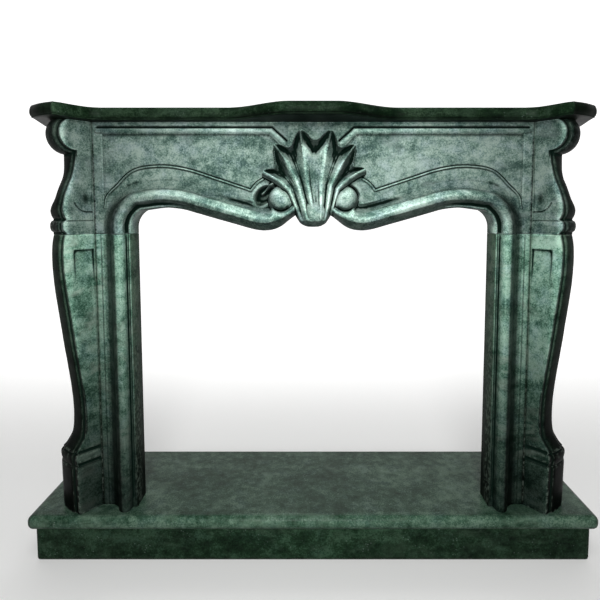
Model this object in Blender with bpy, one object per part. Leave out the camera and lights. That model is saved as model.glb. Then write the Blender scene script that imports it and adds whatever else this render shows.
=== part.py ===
"""A carved green marble fireplace mantel on a boxed hearth, in metres.

The object stands on z = 0 and faces -Y. The wall is the plane y = WALL_Y, and x = 0 is the middle of the
opening. Depths are given as distances in front of the wall. Heights of the surround are given above the
top of the hearth slab. The two sides are mirror images, apart from the hand-carved shell.
"""

import math

import bmesh
import bpy
from mathutils import Vector
from mathutils.geometry import delaunay_2d_cdt

# Gap between pieces that touch
JOINT = 0.0003

# Opening and its frame, with heights above the hearth slab
FRAME_HALF = 0.612
FRAME_FRONT = 0.3335
FRAME_DEPTH = 0.0600
SOFFIT_HEIGHT = 1.100
JAMB_HEIGHT = 0.791
JAMB_WIDTH = 0.104

# Hearth, with how far it runs on beyond the frame
HEARTH_BEYOND = 0.193
HEARTH_OUT = 0.0675
HEARTH_SLAB = 0.040
HEARTH_NOSE = 0.017
RISER_HEIGHT = 0.098
RISER_THICK = 0.030
RISER_SETBACK = 0.018
RISER_ARRIS = 0.010

# Lower edge of the frieze, from the jamb to the shell, with rises above the top of the jambs
ARCH_SHOULDER_RISE = 0.017
ARCH_SHOULDER_RADIUS = 0.056
ARCH_CROWN_IN = 0.088
ARCH_CROWN_RISE = 0.0735
ARCH_SLOPE_X = 0.270
ARCH_SLOPE_RISE = 0.043
ARCH_DIP_X = 0.130
ARCH_DIP_RISE = 0.010
CUSP_X = 0.0495
CUSP_RISE = 0.0525
LOBE_RISE = 0.020
LOBE_HALF = 0.028

# Roll moulding that runs up the jambs and along the arch: width and how far it stands proud
STRIP_WIDTH = 0.005
STRIP_PROUD = 0.012
QUIRK_WIDTH = 0.007
QUIRK_PROUD = 0.007
QUIRK_END = 0.013
QUIRK_FADE_START = 0.30
QUIRK_FADE_END = 0.46
ROLL_CREST = 0.030
ROLL_PROUD = 0.0425
ROLL_OUTER = 0.049
COVE_OUTER = 0.080

# Panels of the frieze, with drops below the shelf
PANEL_MARGIN = 0.030
PANEL_SUNK = 0.004
PANEL_BEVEL = 0.006
PANEL_DROP = 0.0355
PANEL_INNER_X = 0.122
PANEL_CLIP_X = 0.085
PANEL_CLIP_DROP = 0.072
GROOVE_DROP = 0.0145
GROOVE_MARGIN = 0.015
GROOVE_INNER_X = 0.1135
GROOVE_CLIP_X = 0.073
GROOVE_CLIP_DROP = 0.051
GROOVE_HALF = 0.0030
GROOVE_DEPTH = 0.005
FILLET_CROWN_IN = 0.083
FILLET_CROWN_RISE = 0.188
FILLET_SIDE_RISE = 0.073
FILLET_CUSP_X = 0.174
FILLET_CUSP_RISE = 0.1215
FILLET_STEP = 0.0045

# Scroll at each side of the shell
BALL_X = 0.0855
BALL_RISE = 0.094
BALL_RADIUS = 0.028
BALL_PROUD = 0.052
BALL_SIDES = 14
POCKET_X = 0.137
POCKET_RISE = 0.106
POCKET_WIDTH = 0.022
POCKET_LENGTH = 0.030
POCKET_SUNK = 0.020

# Shell: six ridges that fan out from a hub, as angles from the vertical in degrees
SHELL_X = 0.005
SHELL_TIP_DROP = 0.0269
SHELL_FOOT = 0.055
SHELL_WAIST = 0.130
RIDGE_FOOT_ANGLES = (-38.0, -23.0, -7.0, 8.0, 22.0, 34.0)
RIDGE_WAIST_ANGLES = (-31.5, -19.5, -9.5, 8.0, 19.5, 28.0)
RIDGE_TIP_ANGLES = (-40.0, -25.0, -8.2, 9.2, 25.0, 38.0)
RIDGE_REACH = (0.212, 0.257, 0.274, 0.2745, 0.2555, 0.2145)
SCALLOP_DIP = 0.026
SHELL_HUB_PROUD = 0.052
SHELL_WAIST_PROUD = 0.044
SHELL_TIP_PROUD = 0.060
FLUTE_DEPTH = 0.024
SHELL_RIM_WIDTH = 0.004
SHELL_CHEEK = 0.011
SHELL_PARTS = 6
SHELL_RINGS = (0.0, 0.12, 0.26, 0.42, 0.58, 0.72, 0.84, 0.93, 1.0)

# Canted consoles: a rectangle in plan, turned outwards at each end of the frame
CANT = math.radians(40.0)
CONSOLE_WIDTH = 0.080
CONSOLE_DEPTH = 0.1025
FOOT_WIDTH = 0.100
NECK_WIDTH = 0.054
LEG_TOP_WIDTH = 0.073
RIB_PROUD = 0.007
RIB_START = 0.014
RIB_END = 0.070
RIB_BEVEL = 0.010
SCROLL_ROLL_PROUD = 0.011
SCROLL_RADIUS = 0.0430
SCROLL_REACH = 0.0450
SCROLL_DROP = 0.0370
NECK_REACH = 0.0430
SWELL_REACH = 0.0880
KNEE_REACH = 0.0885
FOOT_REACH = 0.0735
ANKLE_TOP = 0.255
LEG_PANEL_DROP = 0.040
LEG_PANEL_LENGTH = 0.130
LEG_PANEL_REACH = 0.062
LEG_PANEL_SUNK = 0.004

# Plain returns from the consoles back to the wall
RETURN_THICK = 0.030

# Mantelshelf, with how far it runs on beyond the frame
SHELF_THICK = 0.033
SHELF_OUT = 0.040
SHELF_BEYOND = 0.170
SHELF_BOW = 0.0885
SHELF_BOW_HALF = 0.232
SHELF_BOW_CROWN = 0.060
EAR_START_IN = 0.040
EAR_PEAK_BEYOND = 0.048
EAR_PEAK_OUT = 0.0820
EAR_TIP_BEYOND = 0.133
EAR_TIP_OUT = 0.0285
EAR_FLANK_BACK = 0.145
SHELF_NOSE = 0.007
SHELF_FILLET = 0.004

# Places that follow from the sizes, with the origin under the middle of the whole depth
SHELF_FRONT = FRAME_FRONT + SHELF_OUT
WALL_Y = (SHELF_FRONT + SHELF_BOW) / 2
HEARTH_DEPTH = FRAME_FRONT + HEARTH_OUT
HEARTH_TOP = RISER_HEIGHT + HEARTH_SLAB
FRAME_Y = WALL_Y - FRAME_FRONT
FRAME_BACK_Y = FRAME_Y + FRAME_DEPTH
OPENING_HALF = FRAME_HALF - JAMB_WIDTH
ARCH_CROWN_X = OPENING_HALF - ARCH_CROWN_IN
ARCH_CROWN_HEIGHT = JAMB_HEIGHT + ARCH_CROWN_RISE
ARCH_SLOPE_HEIGHT = JAMB_HEIGHT + ARCH_SLOPE_RISE
ARCH_DIP_HEIGHT = JAMB_HEIGHT + ARCH_DIP_RISE
CUSP_HEIGHT = JAMB_HEIGHT + CUSP_RISE
LOBE_HEIGHT = JAMB_HEIGHT + LOBE_RISE
PANEL_HALF = FRAME_HALF - PANEL_MARGIN
PANEL_TOP = SOFFIT_HEIGHT - PANEL_DROP
FILLET_CROWN_X = OPENING_HALF - FILLET_CROWN_IN
FILLET_CROWN_HEIGHT = JAMB_HEIGHT + FILLET_CROWN_RISE
FILLET_SIDE_HEIGHT = JAMB_HEIGHT + FILLET_SIDE_RISE
FILLET_CUSP_HEIGHT = JAMB_HEIGHT + FILLET_CUSP_RISE
BALL_HEIGHT = JAMB_HEIGHT + BALL_RISE
SHELL_HUB_HEIGHT = SOFFIT_HEIGHT - SHELL_TIP_DROP - max(RIDGE_REACH)
SCROLL_HEIGHT = SOFFIT_HEIGHT - SCROLL_DROP


def clear_scene():
    """Remove what a new file starts with."""
    for item in list(bpy.data.objects):
        bpy.data.objects.remove(item, do_unlink=True)


def make_collection(name):
    collection = bpy.data.collections.new(name)
    bpy.context.scene.collection.children.link(collection)
    return collection


def marble(name, colour, roughness=0.3):
    """Polished stone of one mean colour."""
    material = bpy.data.materials.new(name)
    material.use_nodes = True
    shader = material.node_tree.nodes["Principled BSDF"]
    shader.inputs["Base Color"].default_value = (*colour, 1.0)
    shader.inputs["Roughness"].default_value = roughness
    shader.inputs["Metallic"].default_value = 0.0
    material.diffuse_color = (*colour, 1.0)
    return material


def finish_mesh(name, mesh_builder, collection, colour, smooth_angle=40.0):
    """Turn a bmesh into a named object with its own material, faces out."""
    bmesh.ops.recalc_face_normals(mesh_builder, faces=mesh_builder.faces)
    if mesh_builder.calc_volume(signed=True) < 0.0:
        bmesh.ops.reverse_faces(mesh_builder, faces=mesh_builder.faces)
    mesh = bpy.data.meshes.new(name)
    mesh_builder.to_mesh(mesh)
    mesh_builder.free()
    mesh.materials.append(marble(name + "_stone", colour))
    mesh.shade_smooth()
    mesh.set_sharp_from_angle(angle=math.radians(smooth_angle))
    item = bpy.data.objects.new(name, mesh)
    collection.objects.link(item)
    return item


def mirrored(item, name, collection, colour):
    """The same piece on the other side of the middle plane."""
    builder = bmesh.new()
    builder.from_mesh(item.data)
    for vertex in builder.verts:
        vertex.co.x = -vertex.co.x
    bmesh.ops.reverse_faces(builder, faces=builder.faces)
    return finish_mesh(name, builder, collection, colour)


def smoothstep(edge_low, edge_high, value):
    share = min(1.0, max(0.0, (value - edge_low) / (edge_high - edge_low)))
    return share * share * (3.0 - 2.0 * share)


def interpolate(stops, value):
    """Straight interpolation in a list of (place, level) pairs."""
    if value <= stops[0][0]:
        return stops[0][1]
    for (low, low_level), (high, high_level) in zip(stops, stops[1:]):
        if value <= high:
            share = (value - low) / (high - low)
            return low_level + (high_level - low_level) * share
    return stops[-1][1]


def spline(points, steps):
    """Points of a Catmull-Rom curve through the given ones, with the last point kept."""
    padded = [2 * points[0] - points[1], *points, 2 * points[-1] - points[-2]]
    curve = []
    for before, start, end, after in zip(padded, padded[1:], padded[2:], padded[3:]):
        for step in range(steps):
            t = step / steps
            curve.append(0.5 * (2 * start + (end - before) * t
                                + (2 * before - 5 * start + 4 * end - after) * t * t
                                + (3 * start - before - 3 * end + after) * t * t * t))
    curve.append(points[-1])
    return curve


def arc(centre, radius, start, end, steps):
    """Points on a circle from one angle to another, in degrees from +x."""
    angles = [math.radians(start + (end - start) * step / steps) for step in range(steps + 1)]
    return [Vector((centre[0] + radius * math.cos(a), centre[1] + radius * math.sin(a))) for a in angles]


def normals_of(curve):
    """Unit normals on the left of a running curve."""
    result = []
    for index in range(len(curve)):
        ahead = curve[min(index + 1, len(curve) - 1)]
        behind = curve[max(index - 1, 0)]
        run = (ahead - behind).normalized()
        result.append(Vector((-run.y, run.x)))
    return result


def prism(outline, low, high):
    """A closed upright block over a plan outline of (x, y) points."""
    builder = bmesh.new()
    base = builder.faces.new([builder.verts.new((p[0], p[1], low)) for p in outline])
    grown = bmesh.ops.extrude_face_region(builder, geom=[base])
    raised = [v for v in grown["geom"] if isinstance(v, bmesh.types.BMVert)]
    bmesh.ops.translate(builder, verts=raised, vec=(0.0, 0.0, high - low))
    return builder


def box(x_low, x_high, y_low, y_high, z_low, z_high):
    """A closed block between two corners."""
    builder = bmesh.new()
    made = bmesh.ops.create_cube(builder, size=1.0)
    for vertex in made["verts"]:
        vertex.co.x = x_low if vertex.co.x < 0.0 else x_high
        vertex.co.y = y_low if vertex.co.y < 0.0 else y_high
        vertex.co.z = z_low if vertex.co.z < 0.0 else z_high
    return builder


# Hearth

def hearth(collection):
    """The slab with its rounded nose, and the boxed riser in three pieces, open at the back."""
    half = FRAME_HALF + HEARTH_BEYOND
    front = WALL_Y - HEARTH_DEPTH
    slab = box(-half, half, front, WALL_Y, RISER_HEIGHT, HEARTH_TOP)
    nose_edges = []
    for edge in slab.edges:
        middle = (edge.verts[0].co + edge.verts[1].co) / 2
        if middle.y < WALL_Y - HEARTH_DEPTH / 4 and (abs(middle.y - front) < 1e-6 or abs(middle.x) > half - 1e-6):
            nose_edges.append(edge)
    bmesh.ops.bevel(slab, geom=nose_edges, offset=HEARTH_NOSE, segments=4, profile=0.5, affect="EDGES")
    finish_mesh("hearth_slab", slab, collection, (0.060, 0.110, 0.065))

    riser_half = half - RISER_SETBACK
    riser_front = front + RISER_SETBACK
    riser_top = RISER_HEIGHT - JOINT
    panel = box(-riser_half, riser_half, riser_front, riser_front + RISER_THICK, 0.0, riser_top)
    corners = [e for e in panel.edges
               if abs(e.verts[0].co.z - e.verts[1].co.z) > riser_top / 2 and e.verts[0].co.y < riser_front + 1e-6]
    bmesh.ops.bevel(panel, geom=corners, offset=RISER_ARRIS, segments=3, profile=0.5, affect="EDGES")
    finish_mesh("hearth_riser_front", panel, collection, (0.028, 0.060, 0.036))
    side_start = riser_front + RISER_THICK + JOINT
    for name, outer in (("hearth_riser_left", -riser_half), ("hearth_riser_right", riser_half)):
        inner = outer - math.copysign(RISER_THICK, outer)
        side = box(min(inner, outer), max(inner, outer), side_start, WALL_Y, 0.0, riser_top)
        finish_mesh(name, side, collection, (0.028, 0.060, 0.036))


# Moulding, jambs and frieze

def moulding_stops():
    """Section of the roll moulding: distance from the opening's edge, and how far it stands proud."""
    quirk_start = QUIRK_END - QUIRK_WIDTH
    return ((0.0, STRIP_PROUD - 0.002), (0.0015, STRIP_PROUD), (STRIP_WIDTH, STRIP_PROUD),
            (quirk_start, QUIRK_PROUD), (QUIRK_END, QUIRK_PROUD + 0.006),
            (QUIRK_END + 0.004, ROLL_PROUD - 0.008), (ROLL_CREST - 0.006, ROLL_PROUD - 0.001),
            (ROLL_CREST + 0.002, ROLL_PROUD), (ROLL_CREST + 0.011, ROLL_PROUD - 0.004),
            (ROLL_OUTER, ROLL_PROUD - 0.0145), (ROLL_OUTER + 0.006, ROLL_PROUD - 0.026),
            (ROLL_OUTER + 0.014, 0.0075), (ROLL_OUTER + 0.022, 0.002), (COVE_OUTER, 0.0))


def jambs(collection):
    """The two moulded uprights."""
    inner = OPENING_HALF
    outline = [(inner, FRAME_BACK_Y)]
    outline += [(inner + out, FRAME_Y - proud) for out, proud in moulding_stops()]
    outline += [(FRAME_HALF - JOINT, FRAME_Y), (FRAME_HALF - JOINT, FRAME_BACK_Y)]
    right = prism(outline, HEARTH_TOP + JOINT, HEARTH_TOP + JAMB_HEIGHT - JOINT)
    colour = (0.085, 0.140, 0.095)
    piece = finish_mesh("jamb_right", right, collection, colour)
    mirrored(piece, "jamb_left", collection, colour)


def arch_edge(steps=5):
    """Lower edge of the frieze on the +x side, from the jamb's top to the cusp beside the shell."""
    shoulder = (OPENING_HALF - ARCH_SHOULDER_RADIUS, JAMB_HEIGHT + ARCH_SHOULDER_RISE)
    start = Vector((OPENING_HALF, JAMB_HEIGHT + JOINT))
    corner = arc(shoulder, ARCH_SHOULDER_RADIUS, 0.0, 62.0, steps + 1)
    run = [Vector(p) for p in (
        (ARCH_CROWN_X, ARCH_CROWN_HEIGHT),
        (ARCH_CROWN_X - 0.055, ARCH_CROWN_HEIGHT - 0.004),
        (ARCH_SLOPE_X + 0.050, ARCH_SLOPE_HEIGHT + 0.0145),
        (ARCH_SLOPE_X, ARCH_SLOPE_HEIGHT),
        (ARCH_SLOPE_X - 0.055, ARCH_SLOPE_HEIGHT - 0.0155),
        (ARCH_DIP_X + 0.035, ARCH_DIP_HEIGHT + 0.0035),
        (ARCH_DIP_X, ARCH_DIP_HEIGHT),
        (ARCH_DIP_X - 0.033, ARCH_DIP_HEIGHT + 0.0075),
        ((ARCH_DIP_X + CUSP_X) / 2 - 0.022, CUSP_HEIGHT - 0.0135),
        (CUSP_X, CUSP_HEIGHT))]
    body = spline([corner[-1], *run], steps)
    return [start, *corner[:-1], *body]


def fillet_line(steps=5):
    """Line of the small fillet over the arch, from the side of the panel to the cusp by the scroll."""
    points = [Vector(p) for p in (
        (PANEL_HALF, FILLET_SIDE_HEIGHT),
        (PANEL_HALF - 0.007, FILLET_SIDE_HEIGHT + 0.033),
        (PANEL_HALF - 0.033, FILLET_SIDE_HEIGHT + 0.060),
        (FILLET_CROWN_X + 0.075, FILLET_CROWN_HEIGHT - 0.012),
        (FILLET_CROWN_X, FILLET_CROWN_HEIGHT),
        (FILLET_CROWN_X - 0.073, FILLET_CROWN_HEIGHT - 0.009),
        (ARCH_SLOPE_X + 0.008, FILLET_CUSP_HEIGHT + 0.0345),
        (FILLET_CUSP_X, FILLET_CUSP_HEIGHT))]
    return spline(points, steps)


class Relief:
    """How far the carved front of the frieze stands proud of the frame's plane at a point."""

    def __init__(self):
        self.edge = arch_edge(6)
        self.fillet = fillet_line(6)
        self.moulding = moulding_stops()

    @staticmethod
    def distance(curve, point):
        """Shortest way from a point to a run of straight pieces."""
        best = 1e9
        for start, end in zip(curve, curve[1:]):
            along = end - start
            share = max(0.0, min(1.0, (point - start).dot(along) / max(along.length_squared, 1e-12)))
            best = min(best, (start + along * share - point).length)
        return best

    def ground(self, point):
        """Margins, sunk field and grooves, without the moulding."""
        proud = 0.0
        inside = self.field_depth(point)
        if inside > 0.0:
            proud -= PANEL_SUNK * min(1.0, inside / PANEL_BEVEL)
        groove = self.distance(groove_line(), point)
        if groove < GROOVE_HALF:
            proud -= GROOVE_DEPTH * (1.0 - groove / GROOVE_HALF)
        return proud

    def field_depth(self, point):
        """Distance inside the panel's border, negative outside it."""
        x, z = point
        clip_run = Vector((PANEL_CLIP_X - PANEL_INNER_X, PANEL_DROP - PANEL_CLIP_DROP)).normalized()
        clip_normal = Vector((-clip_run.y, clip_run.x))
        clip = (point - Vector((PANEL_INNER_X, PANEL_TOP))).dot(clip_normal)
        return min(PANEL_HALF - x, PANEL_TOP - z, clip, z - self.fillet_height(x))

    def fillet_height(self, x):
        """Height of the fillet over x, and past its cusp the line up to the shell."""
        if x >= self.fillet[0].x:
            return FILLET_SIDE_HEIGHT
        if x < FILLET_CUSP_X:
            return FILLET_CUSP_HEIGHT + (FILLET_CUSP_X - x) * 0.9
        for start, end in zip(self.fillet, self.fillet[1:]):
            if end.x <= x <= start.x:
                share = (start.x - x) / max(start.x - end.x, 1e-9)
                return start.y + (end.y - start.y) * share
        return FILLET_CUSP_HEIGHT

    def roll(self, point):
        """The roll moulding, squeezed where it curls round the ball of the scroll."""
        out = self.distance(self.edge, point)
        gap = max(0.0, (point - Vector((BALL_X, BALL_HEIGHT))).length - BALL_RADIUS)
        if out + gap < ROLL_OUTER + 0.006:
            out = out * (ROLL_OUTER + 0.006) / max(out + gap, 1e-6)
        proud = interpolate(self.moulding, out)
        quirk_fade = smoothstep(QUIRK_FADE_START, QUIRK_FADE_END, point.x)
        if out < ROLL_CREST - 0.008:
            plain = interpolate(((0.0, 0.006), (0.010, 0.022), (ROLL_CREST - 0.008, ROLL_PROUD - 0.002)), out)
            proud = plain + (proud - plain) * quirk_fade
        deep = (1.0 - smoothstep(0.15, 0.30, point.x)) * 0.012
        cove = max(0.0, 1.0 - abs(out - ROLL_OUTER - 0.014) / 0.014)
        return proud - deep * cove, out

    def ball(self, point):
        away = (point - Vector((BALL_X, BALL_HEIGHT))).length / BALL_RADIUS
        if away > 1.0:
            return -1.0
        return BALL_PROUD * math.sqrt(max(0.0, 1.0 - away * away * 0.93))

    def pocket(self, point):
        across = (point.x - POCKET_X) / POCKET_WIDTH
        along = (point.y - JAMB_HEIGHT - POCKET_RISE) / POCKET_LENGTH
        return POCKET_SUNK * max(0.0, 1.0 - across * across - along * along)

    def side(self, point):
        """Everything but the shell, for a point on the +x side."""
        proud, out = self.roll(point)
        if out > COVE_OUTER:
            proud = self.ground(point)
        proud -= self.pocket(point)
        return max(proud, self.ball(point))


def groove_line():
    """The thick groove under the shelf, with its slanted end beside the shell."""
    height = SOFFIT_HEIGHT - GROOVE_DROP
    return [Vector((FRAME_HALF - GROOVE_MARGIN, height)), Vector((GROOVE_INNER_X, height)),
            Vector((GROOVE_CLIP_X, SOFFIT_HEIGHT - GROOVE_CLIP_DROP))]


def ridge_angle(index, reach):
    """Angle of one ridge of the shell at a distance from the hub."""
    return interpolate(((SHELL_FOOT, RIDGE_FOOT_ANGLES[index]), (SHELL_WAIST, RIDGE_WAIST_ANGLES[index]),
                        (RIDGE_REACH[index], RIDGE_TIP_ANGLES[index])), reach)


def shell_rim(station):
    """Distance from the hub to the scalloped rim, at a place counted in ridges."""
    low = min(int(station), len(RIDGE_REACH) - 2)
    share = station - low
    straight = RIDGE_REACH[low] + (RIDGE_REACH[low + 1] - RIDGE_REACH[low]) * share
    return straight - SCALLOP_DIP * math.sin(math.pi * share) ** 1.3


def shell_point(station, share):
    """Place of a point of the shell: station counts the ridges, share runs from the foot to the rim."""
    low = min(int(station), len(RIDGE_REACH) - 2)
    reach = SHELL_FOOT + (shell_rim(station) - SHELL_FOOT) * share
    part = station - low
    angle = math.radians(ridge_angle(low, reach) * (1 - part) + ridge_angle(low + 1, reach) * part)
    return Vector((SHELL_X + reach * math.sin(angle), SHELL_HUB_HEIGHT + reach * math.cos(angle)))


def shell_proud(station, share):
    """Height of the shell: high ridges, and flutes that hollow out and sweep forward to the rim."""
    part = station - int(min(station, len(RIDGE_REACH) - 2))
    ridge = interpolate(((0.0, SHELL_HUB_PROUD), (0.45, SHELL_WAIST_PROUD), (0.8, SHELL_WAIST_PROUD + 0.004),
                         (1.0, SHELL_TIP_PROUD)), share)
    hollow = math.sin(math.pi * part) ** 0.8
    depth = FLUTE_DEPTH * interpolate(((0.0, 0.12), (0.35, 0.55), (0.72, 1.0), (0.9, 0.75), (1.0, 0.30)), share)
    return ridge - depth * hollow


def shell_border():
    """Where the shell meets its ground on the +x and -x sides and over the top, from cusp to cusp."""
    hub = Vector((SHELL_X, SHELL_HUB_HEIGHT))
    last = len(RIDGE_REACH) - 1
    right = []
    left = []
    for share in (0.22, 0.38, 0.54, 0.70, 0.86):
        width = SHELL_CHEEK * smoothstep(-0.4, 0.8, share)
        right.append(shell_point(last, share) + Vector((width, -0.6 * width)))
        left.append(shell_point(0, share) + Vector((-width, -0.6 * width)))
    over = []
    for step in range(SHELL_PARTS * last, -1, -1):
        point = shell_point(step / SHELL_PARTS, 1.0)
        over.append(point + (point - hub).normalized() * SHELL_RIM_WIDTH)
    return right + over + list(reversed(left))


def is_inside(point, polygon):
    """Whether a point lies within a closed outline."""
    inside = False
    for a, b in zip(polygon, polygon[1:] + polygon[:1]):
        if (a.y > point.y) != (b.y > point.y):
            if point.x < a.x + (b.x - a.x) * (point.y - a.y) / (b.y - a.y):
                inside = not inside
    return inside


class CarvedFront:
    """Points of the frieze's front, each with how far it stands proud, and the arrises that join them."""

    def __init__(self):
        self.heights = {}
        self.arrises = []

    def add(self, point, proud):
        key = (round(point.x, 5), round(point.y, 5))
        self.heights.setdefault(key, proud)
        return key

    def join(self, keys):
        """Make arrises between neighbours in a row, with a break where a point was left out."""
        for first, second in zip(keys, keys[1:]):
            if first is not None and second is not None and first != second:
                self.arrises.append((first, second))


def carve_shell(front, relief, border):
    """Rays along the ridges and flutes, rings across them, and the rounded foot below."""
    last = len(RIDGE_REACH) - 1
    stations = [step / SHELL_PARTS for step in range(SHELL_PARTS * last + 1)]
    hub = Vector((SHELL_X, SHELL_HUB_HEIGHT))
    rows = []
    for station in stations:
        rows.append([front.add(shell_point(station, share), shell_proud(station, share)) for share in SHELL_RINGS])
    for row in rows:
        front.join(row)
    for ring in zip(*rows):
        front.join(ring)
    wall = [front.add(point, max(0.0, relief.side(Vector((abs(point.x), point.y))))) for point in border]
    front.join(wall)
    for share, proud in ((0.80, SHELL_HUB_PROUD - 0.003), (0.58, SHELL_HUB_PROUD - 0.012)):
        ring = []
        for station in stations[::3]:
            point = shell_point(station, 0.0)
            ring.append(front.add(hub + (point - hub) * share, proud))
        front.join(ring)


def carve_side(front, relief, edge, mirror, border, limit):
    """Scroll, moulding, fillet, panel and groove on one side."""
    ball = Vector((BALL_X, BALL_HEIGHT))

    def put(point, proud=None):
        placed = Vector((point.x * mirror, point.y))
        if point.x < 0.0 or is_inside(placed, border) or relief.distance(border, placed) < 0.003:
            return None
        return front.add(placed, relief.side(point) if proud is None else proud)

    put(ball, BALL_PROUD)
    turns = [2 * math.pi * step / BALL_SIDES for step in range(BALL_SIDES + 1)]
    for ring in (0.35, 0.65, 0.88, 1.0, 1.14):
        front.join([put(ball + BALL_RADIUS * ring * Vector((math.cos(a), math.sin(a)))) for a in turns])
    for across in (-0.6, 0.0, 0.6):
        for along in (-0.5, 0.1, 0.7):
            point = Vector((POCKET_X + across * POCKET_WIDTH, JAMB_HEIGHT + POCKET_RISE + along * POCKET_LENGTH))
            if (point - ball).length > BALL_RADIUS * 1.3:
                put(point)
    normals = normals_of(edge)
    for out, _ in relief.moulding[1:]:
        row = []
        for start, normal in zip(edge[1:], normals[1:]):
            point = start - normal * out
            kept = relief.distance(edge, point) > out - 0.0015 and (point - ball).length > BALL_RADIUS * 1.2
            within = point.x < limit - 0.002 and point.y > JAMB_HEIGHT + 0.004
            plain = out < QUIRK_END and start.x < QUIRK_FADE_END - 0.06
            row.append(put(point) if kept and within and not plain else None)
        front.join([front.add(Vector(((OPENING_HALF + out) * mirror, JAMB_HEIGHT + JOINT)), 0.0), *row])
    fillet = relief.fillet
    slopes = normals_of(fillet)
    for step, proud in enumerate((0.0, -0.003, 0.001, -0.003, -PANEL_SUNK)):
        row = [put(point + normal * FILLET_STEP * (step - 2), proud) for point, normal in zip(fillet, slopes)]
        front.join(row)
    inner = PANEL_HALF - PANEL_BEVEL
    clip_height = SOFFIT_HEIGHT - PANEL_CLIP_DROP
    outer_line = [(PANEL_HALF, FILLET_SIDE_HEIGHT + 0.02), (PANEL_HALF, PANEL_TOP), (PANEL_INNER_X, PANEL_TOP),
                  (PANEL_CLIP_X, clip_height)]
    inner_line = [(inner, FILLET_SIDE_HEIGHT + 0.052), (inner, PANEL_TOP - 0.003),
                  (PANEL_INNER_X + 0.002, PANEL_TOP - 0.003), (PANEL_CLIP_X + 0.003, clip_height - 0.002)]
    front.join([put(Vector(p), 0.0) for p in outer_line])
    front.join([put(Vector(p), -PANEL_SUNK) for p in inner_line])
    line = groove_line()
    for offset, proud in ((-GROOVE_HALF, 0.0), (0.0, -GROOVE_DEPTH), (GROOVE_HALF, 0.0), (0.009, 0.002),
                          (0.016, 0.0)):
        row = [line[0] - Vector((0.0, offset)), line[1] + Vector((offset * 0.4, -offset)),
               line[2] + Vector((offset * 0.7, -offset * 0.7))]
        front.join([put(point, proud) for point in row])


def frieze(collection):
    """The carved block over the opening: arch moulding, panels, scrolls and shell in one piece of stone.

    The front is a carved surface over the block's outline. Its points lie in rows that follow the
    mouldings, so that their arrises stay crisp.
    """
    relief = Relief()
    front = CarvedFront()
    edge = arch_edge()
    lobe = [Vector((CUSP_X - 0.008, CUSP_HEIGHT - 0.013)), Vector((LOBE_HALF + 0.006, LOBE_HEIGHT + 0.0095)),
            Vector((LOBE_HALF - 0.010, LOBE_HEIGHT + 0.0015)), Vector((0.0, LOBE_HEIGHT))]
    side = FRAME_HALF - JOINT
    foot = JAMB_HEIGHT + JOINT
    top = SOFFIT_HEIGHT - JOINT
    half = [Vector((side, top)), Vector((side, foot))]
    half += [Vector((OPENING_HALF + out, foot)) for out, _ in reversed(relief.moulding[1:])]
    half += edge + lobe
    outline = half + [Vector((-p.x, p.y)) for p in reversed(half[:-1])]
    for point in outline:
        in_lobe = abs(point.x) < CUSP_X - 0.001 and point.y < CUSP_HEIGHT
        on_side = abs(point.x) > side - 0.001
        proud = 0.016 if in_lobe else 0.0 if on_side else relief.side(Vector((abs(point.x), point.y)))
        front.add(point, proud)

    border = shell_border()
    closed_border = border + [Vector((-CUSP_X, CUSP_HEIGHT)), Vector((0.0, LOBE_HEIGHT)), Vector((CUSP_X, CUSP_HEIGHT))]
    carve_shell(front, relief, border)
    for mirror in (1, -1):
        carve_side(front, relief, edge, mirror, closed_border, side)

    keys = list(front.heights)
    index = {key: number for number, key in enumerate(keys)}
    ring = [(round(p.x, 5), round(p.y, 5)) for p in outline]
    lines = [(index[a], index[b]) for a, b in zip(ring, ring[1:] + ring[:1])]
    lines += [(index[a], index[b]) for a, b in front.arrises]
    flat, _, faces, sources, _, _ = delaunay_2d_cdt([Vector(key) for key in keys], lines, [], 1, 1e-6)

    builder = bmesh.new()
    carved = []
    for place, source in zip(flat, sources):
        proud = front.heights[keys[source[0]]] if source else relief.side(Vector((abs(place[0]), place[1])))
        carved.append(builder.verts.new((place[0], FRAME_Y - proud, place[1] + HEARTH_TOP)))
    for face in faces:
        builder.faces.new([carved[number] for number in face])
    rim_edges = [e for e in builder.edges if len(e.link_faces) == 1]
    grown = bmesh.ops.extrude_edge_only(builder, edges=rim_edges)
    for item in grown["geom"]:
        if isinstance(item, bmesh.types.BMVert):
            item.co.y = FRAME_BACK_Y
    bmesh.ops.contextual_create(builder, geom=[e for e in builder.edges if len(e.link_faces) == 1])
    finish_mesh("frieze", builder, collection, (0.130, 0.185, 0.150), 35.0)


# Consoles

def with_rib(points):
    """Pair each point of a front edge with the crest of the rib in front of it."""
    return [(Vector(p), Vector(p) + Vector((RIB_PROUD, 0.0))) for p in points]


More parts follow.
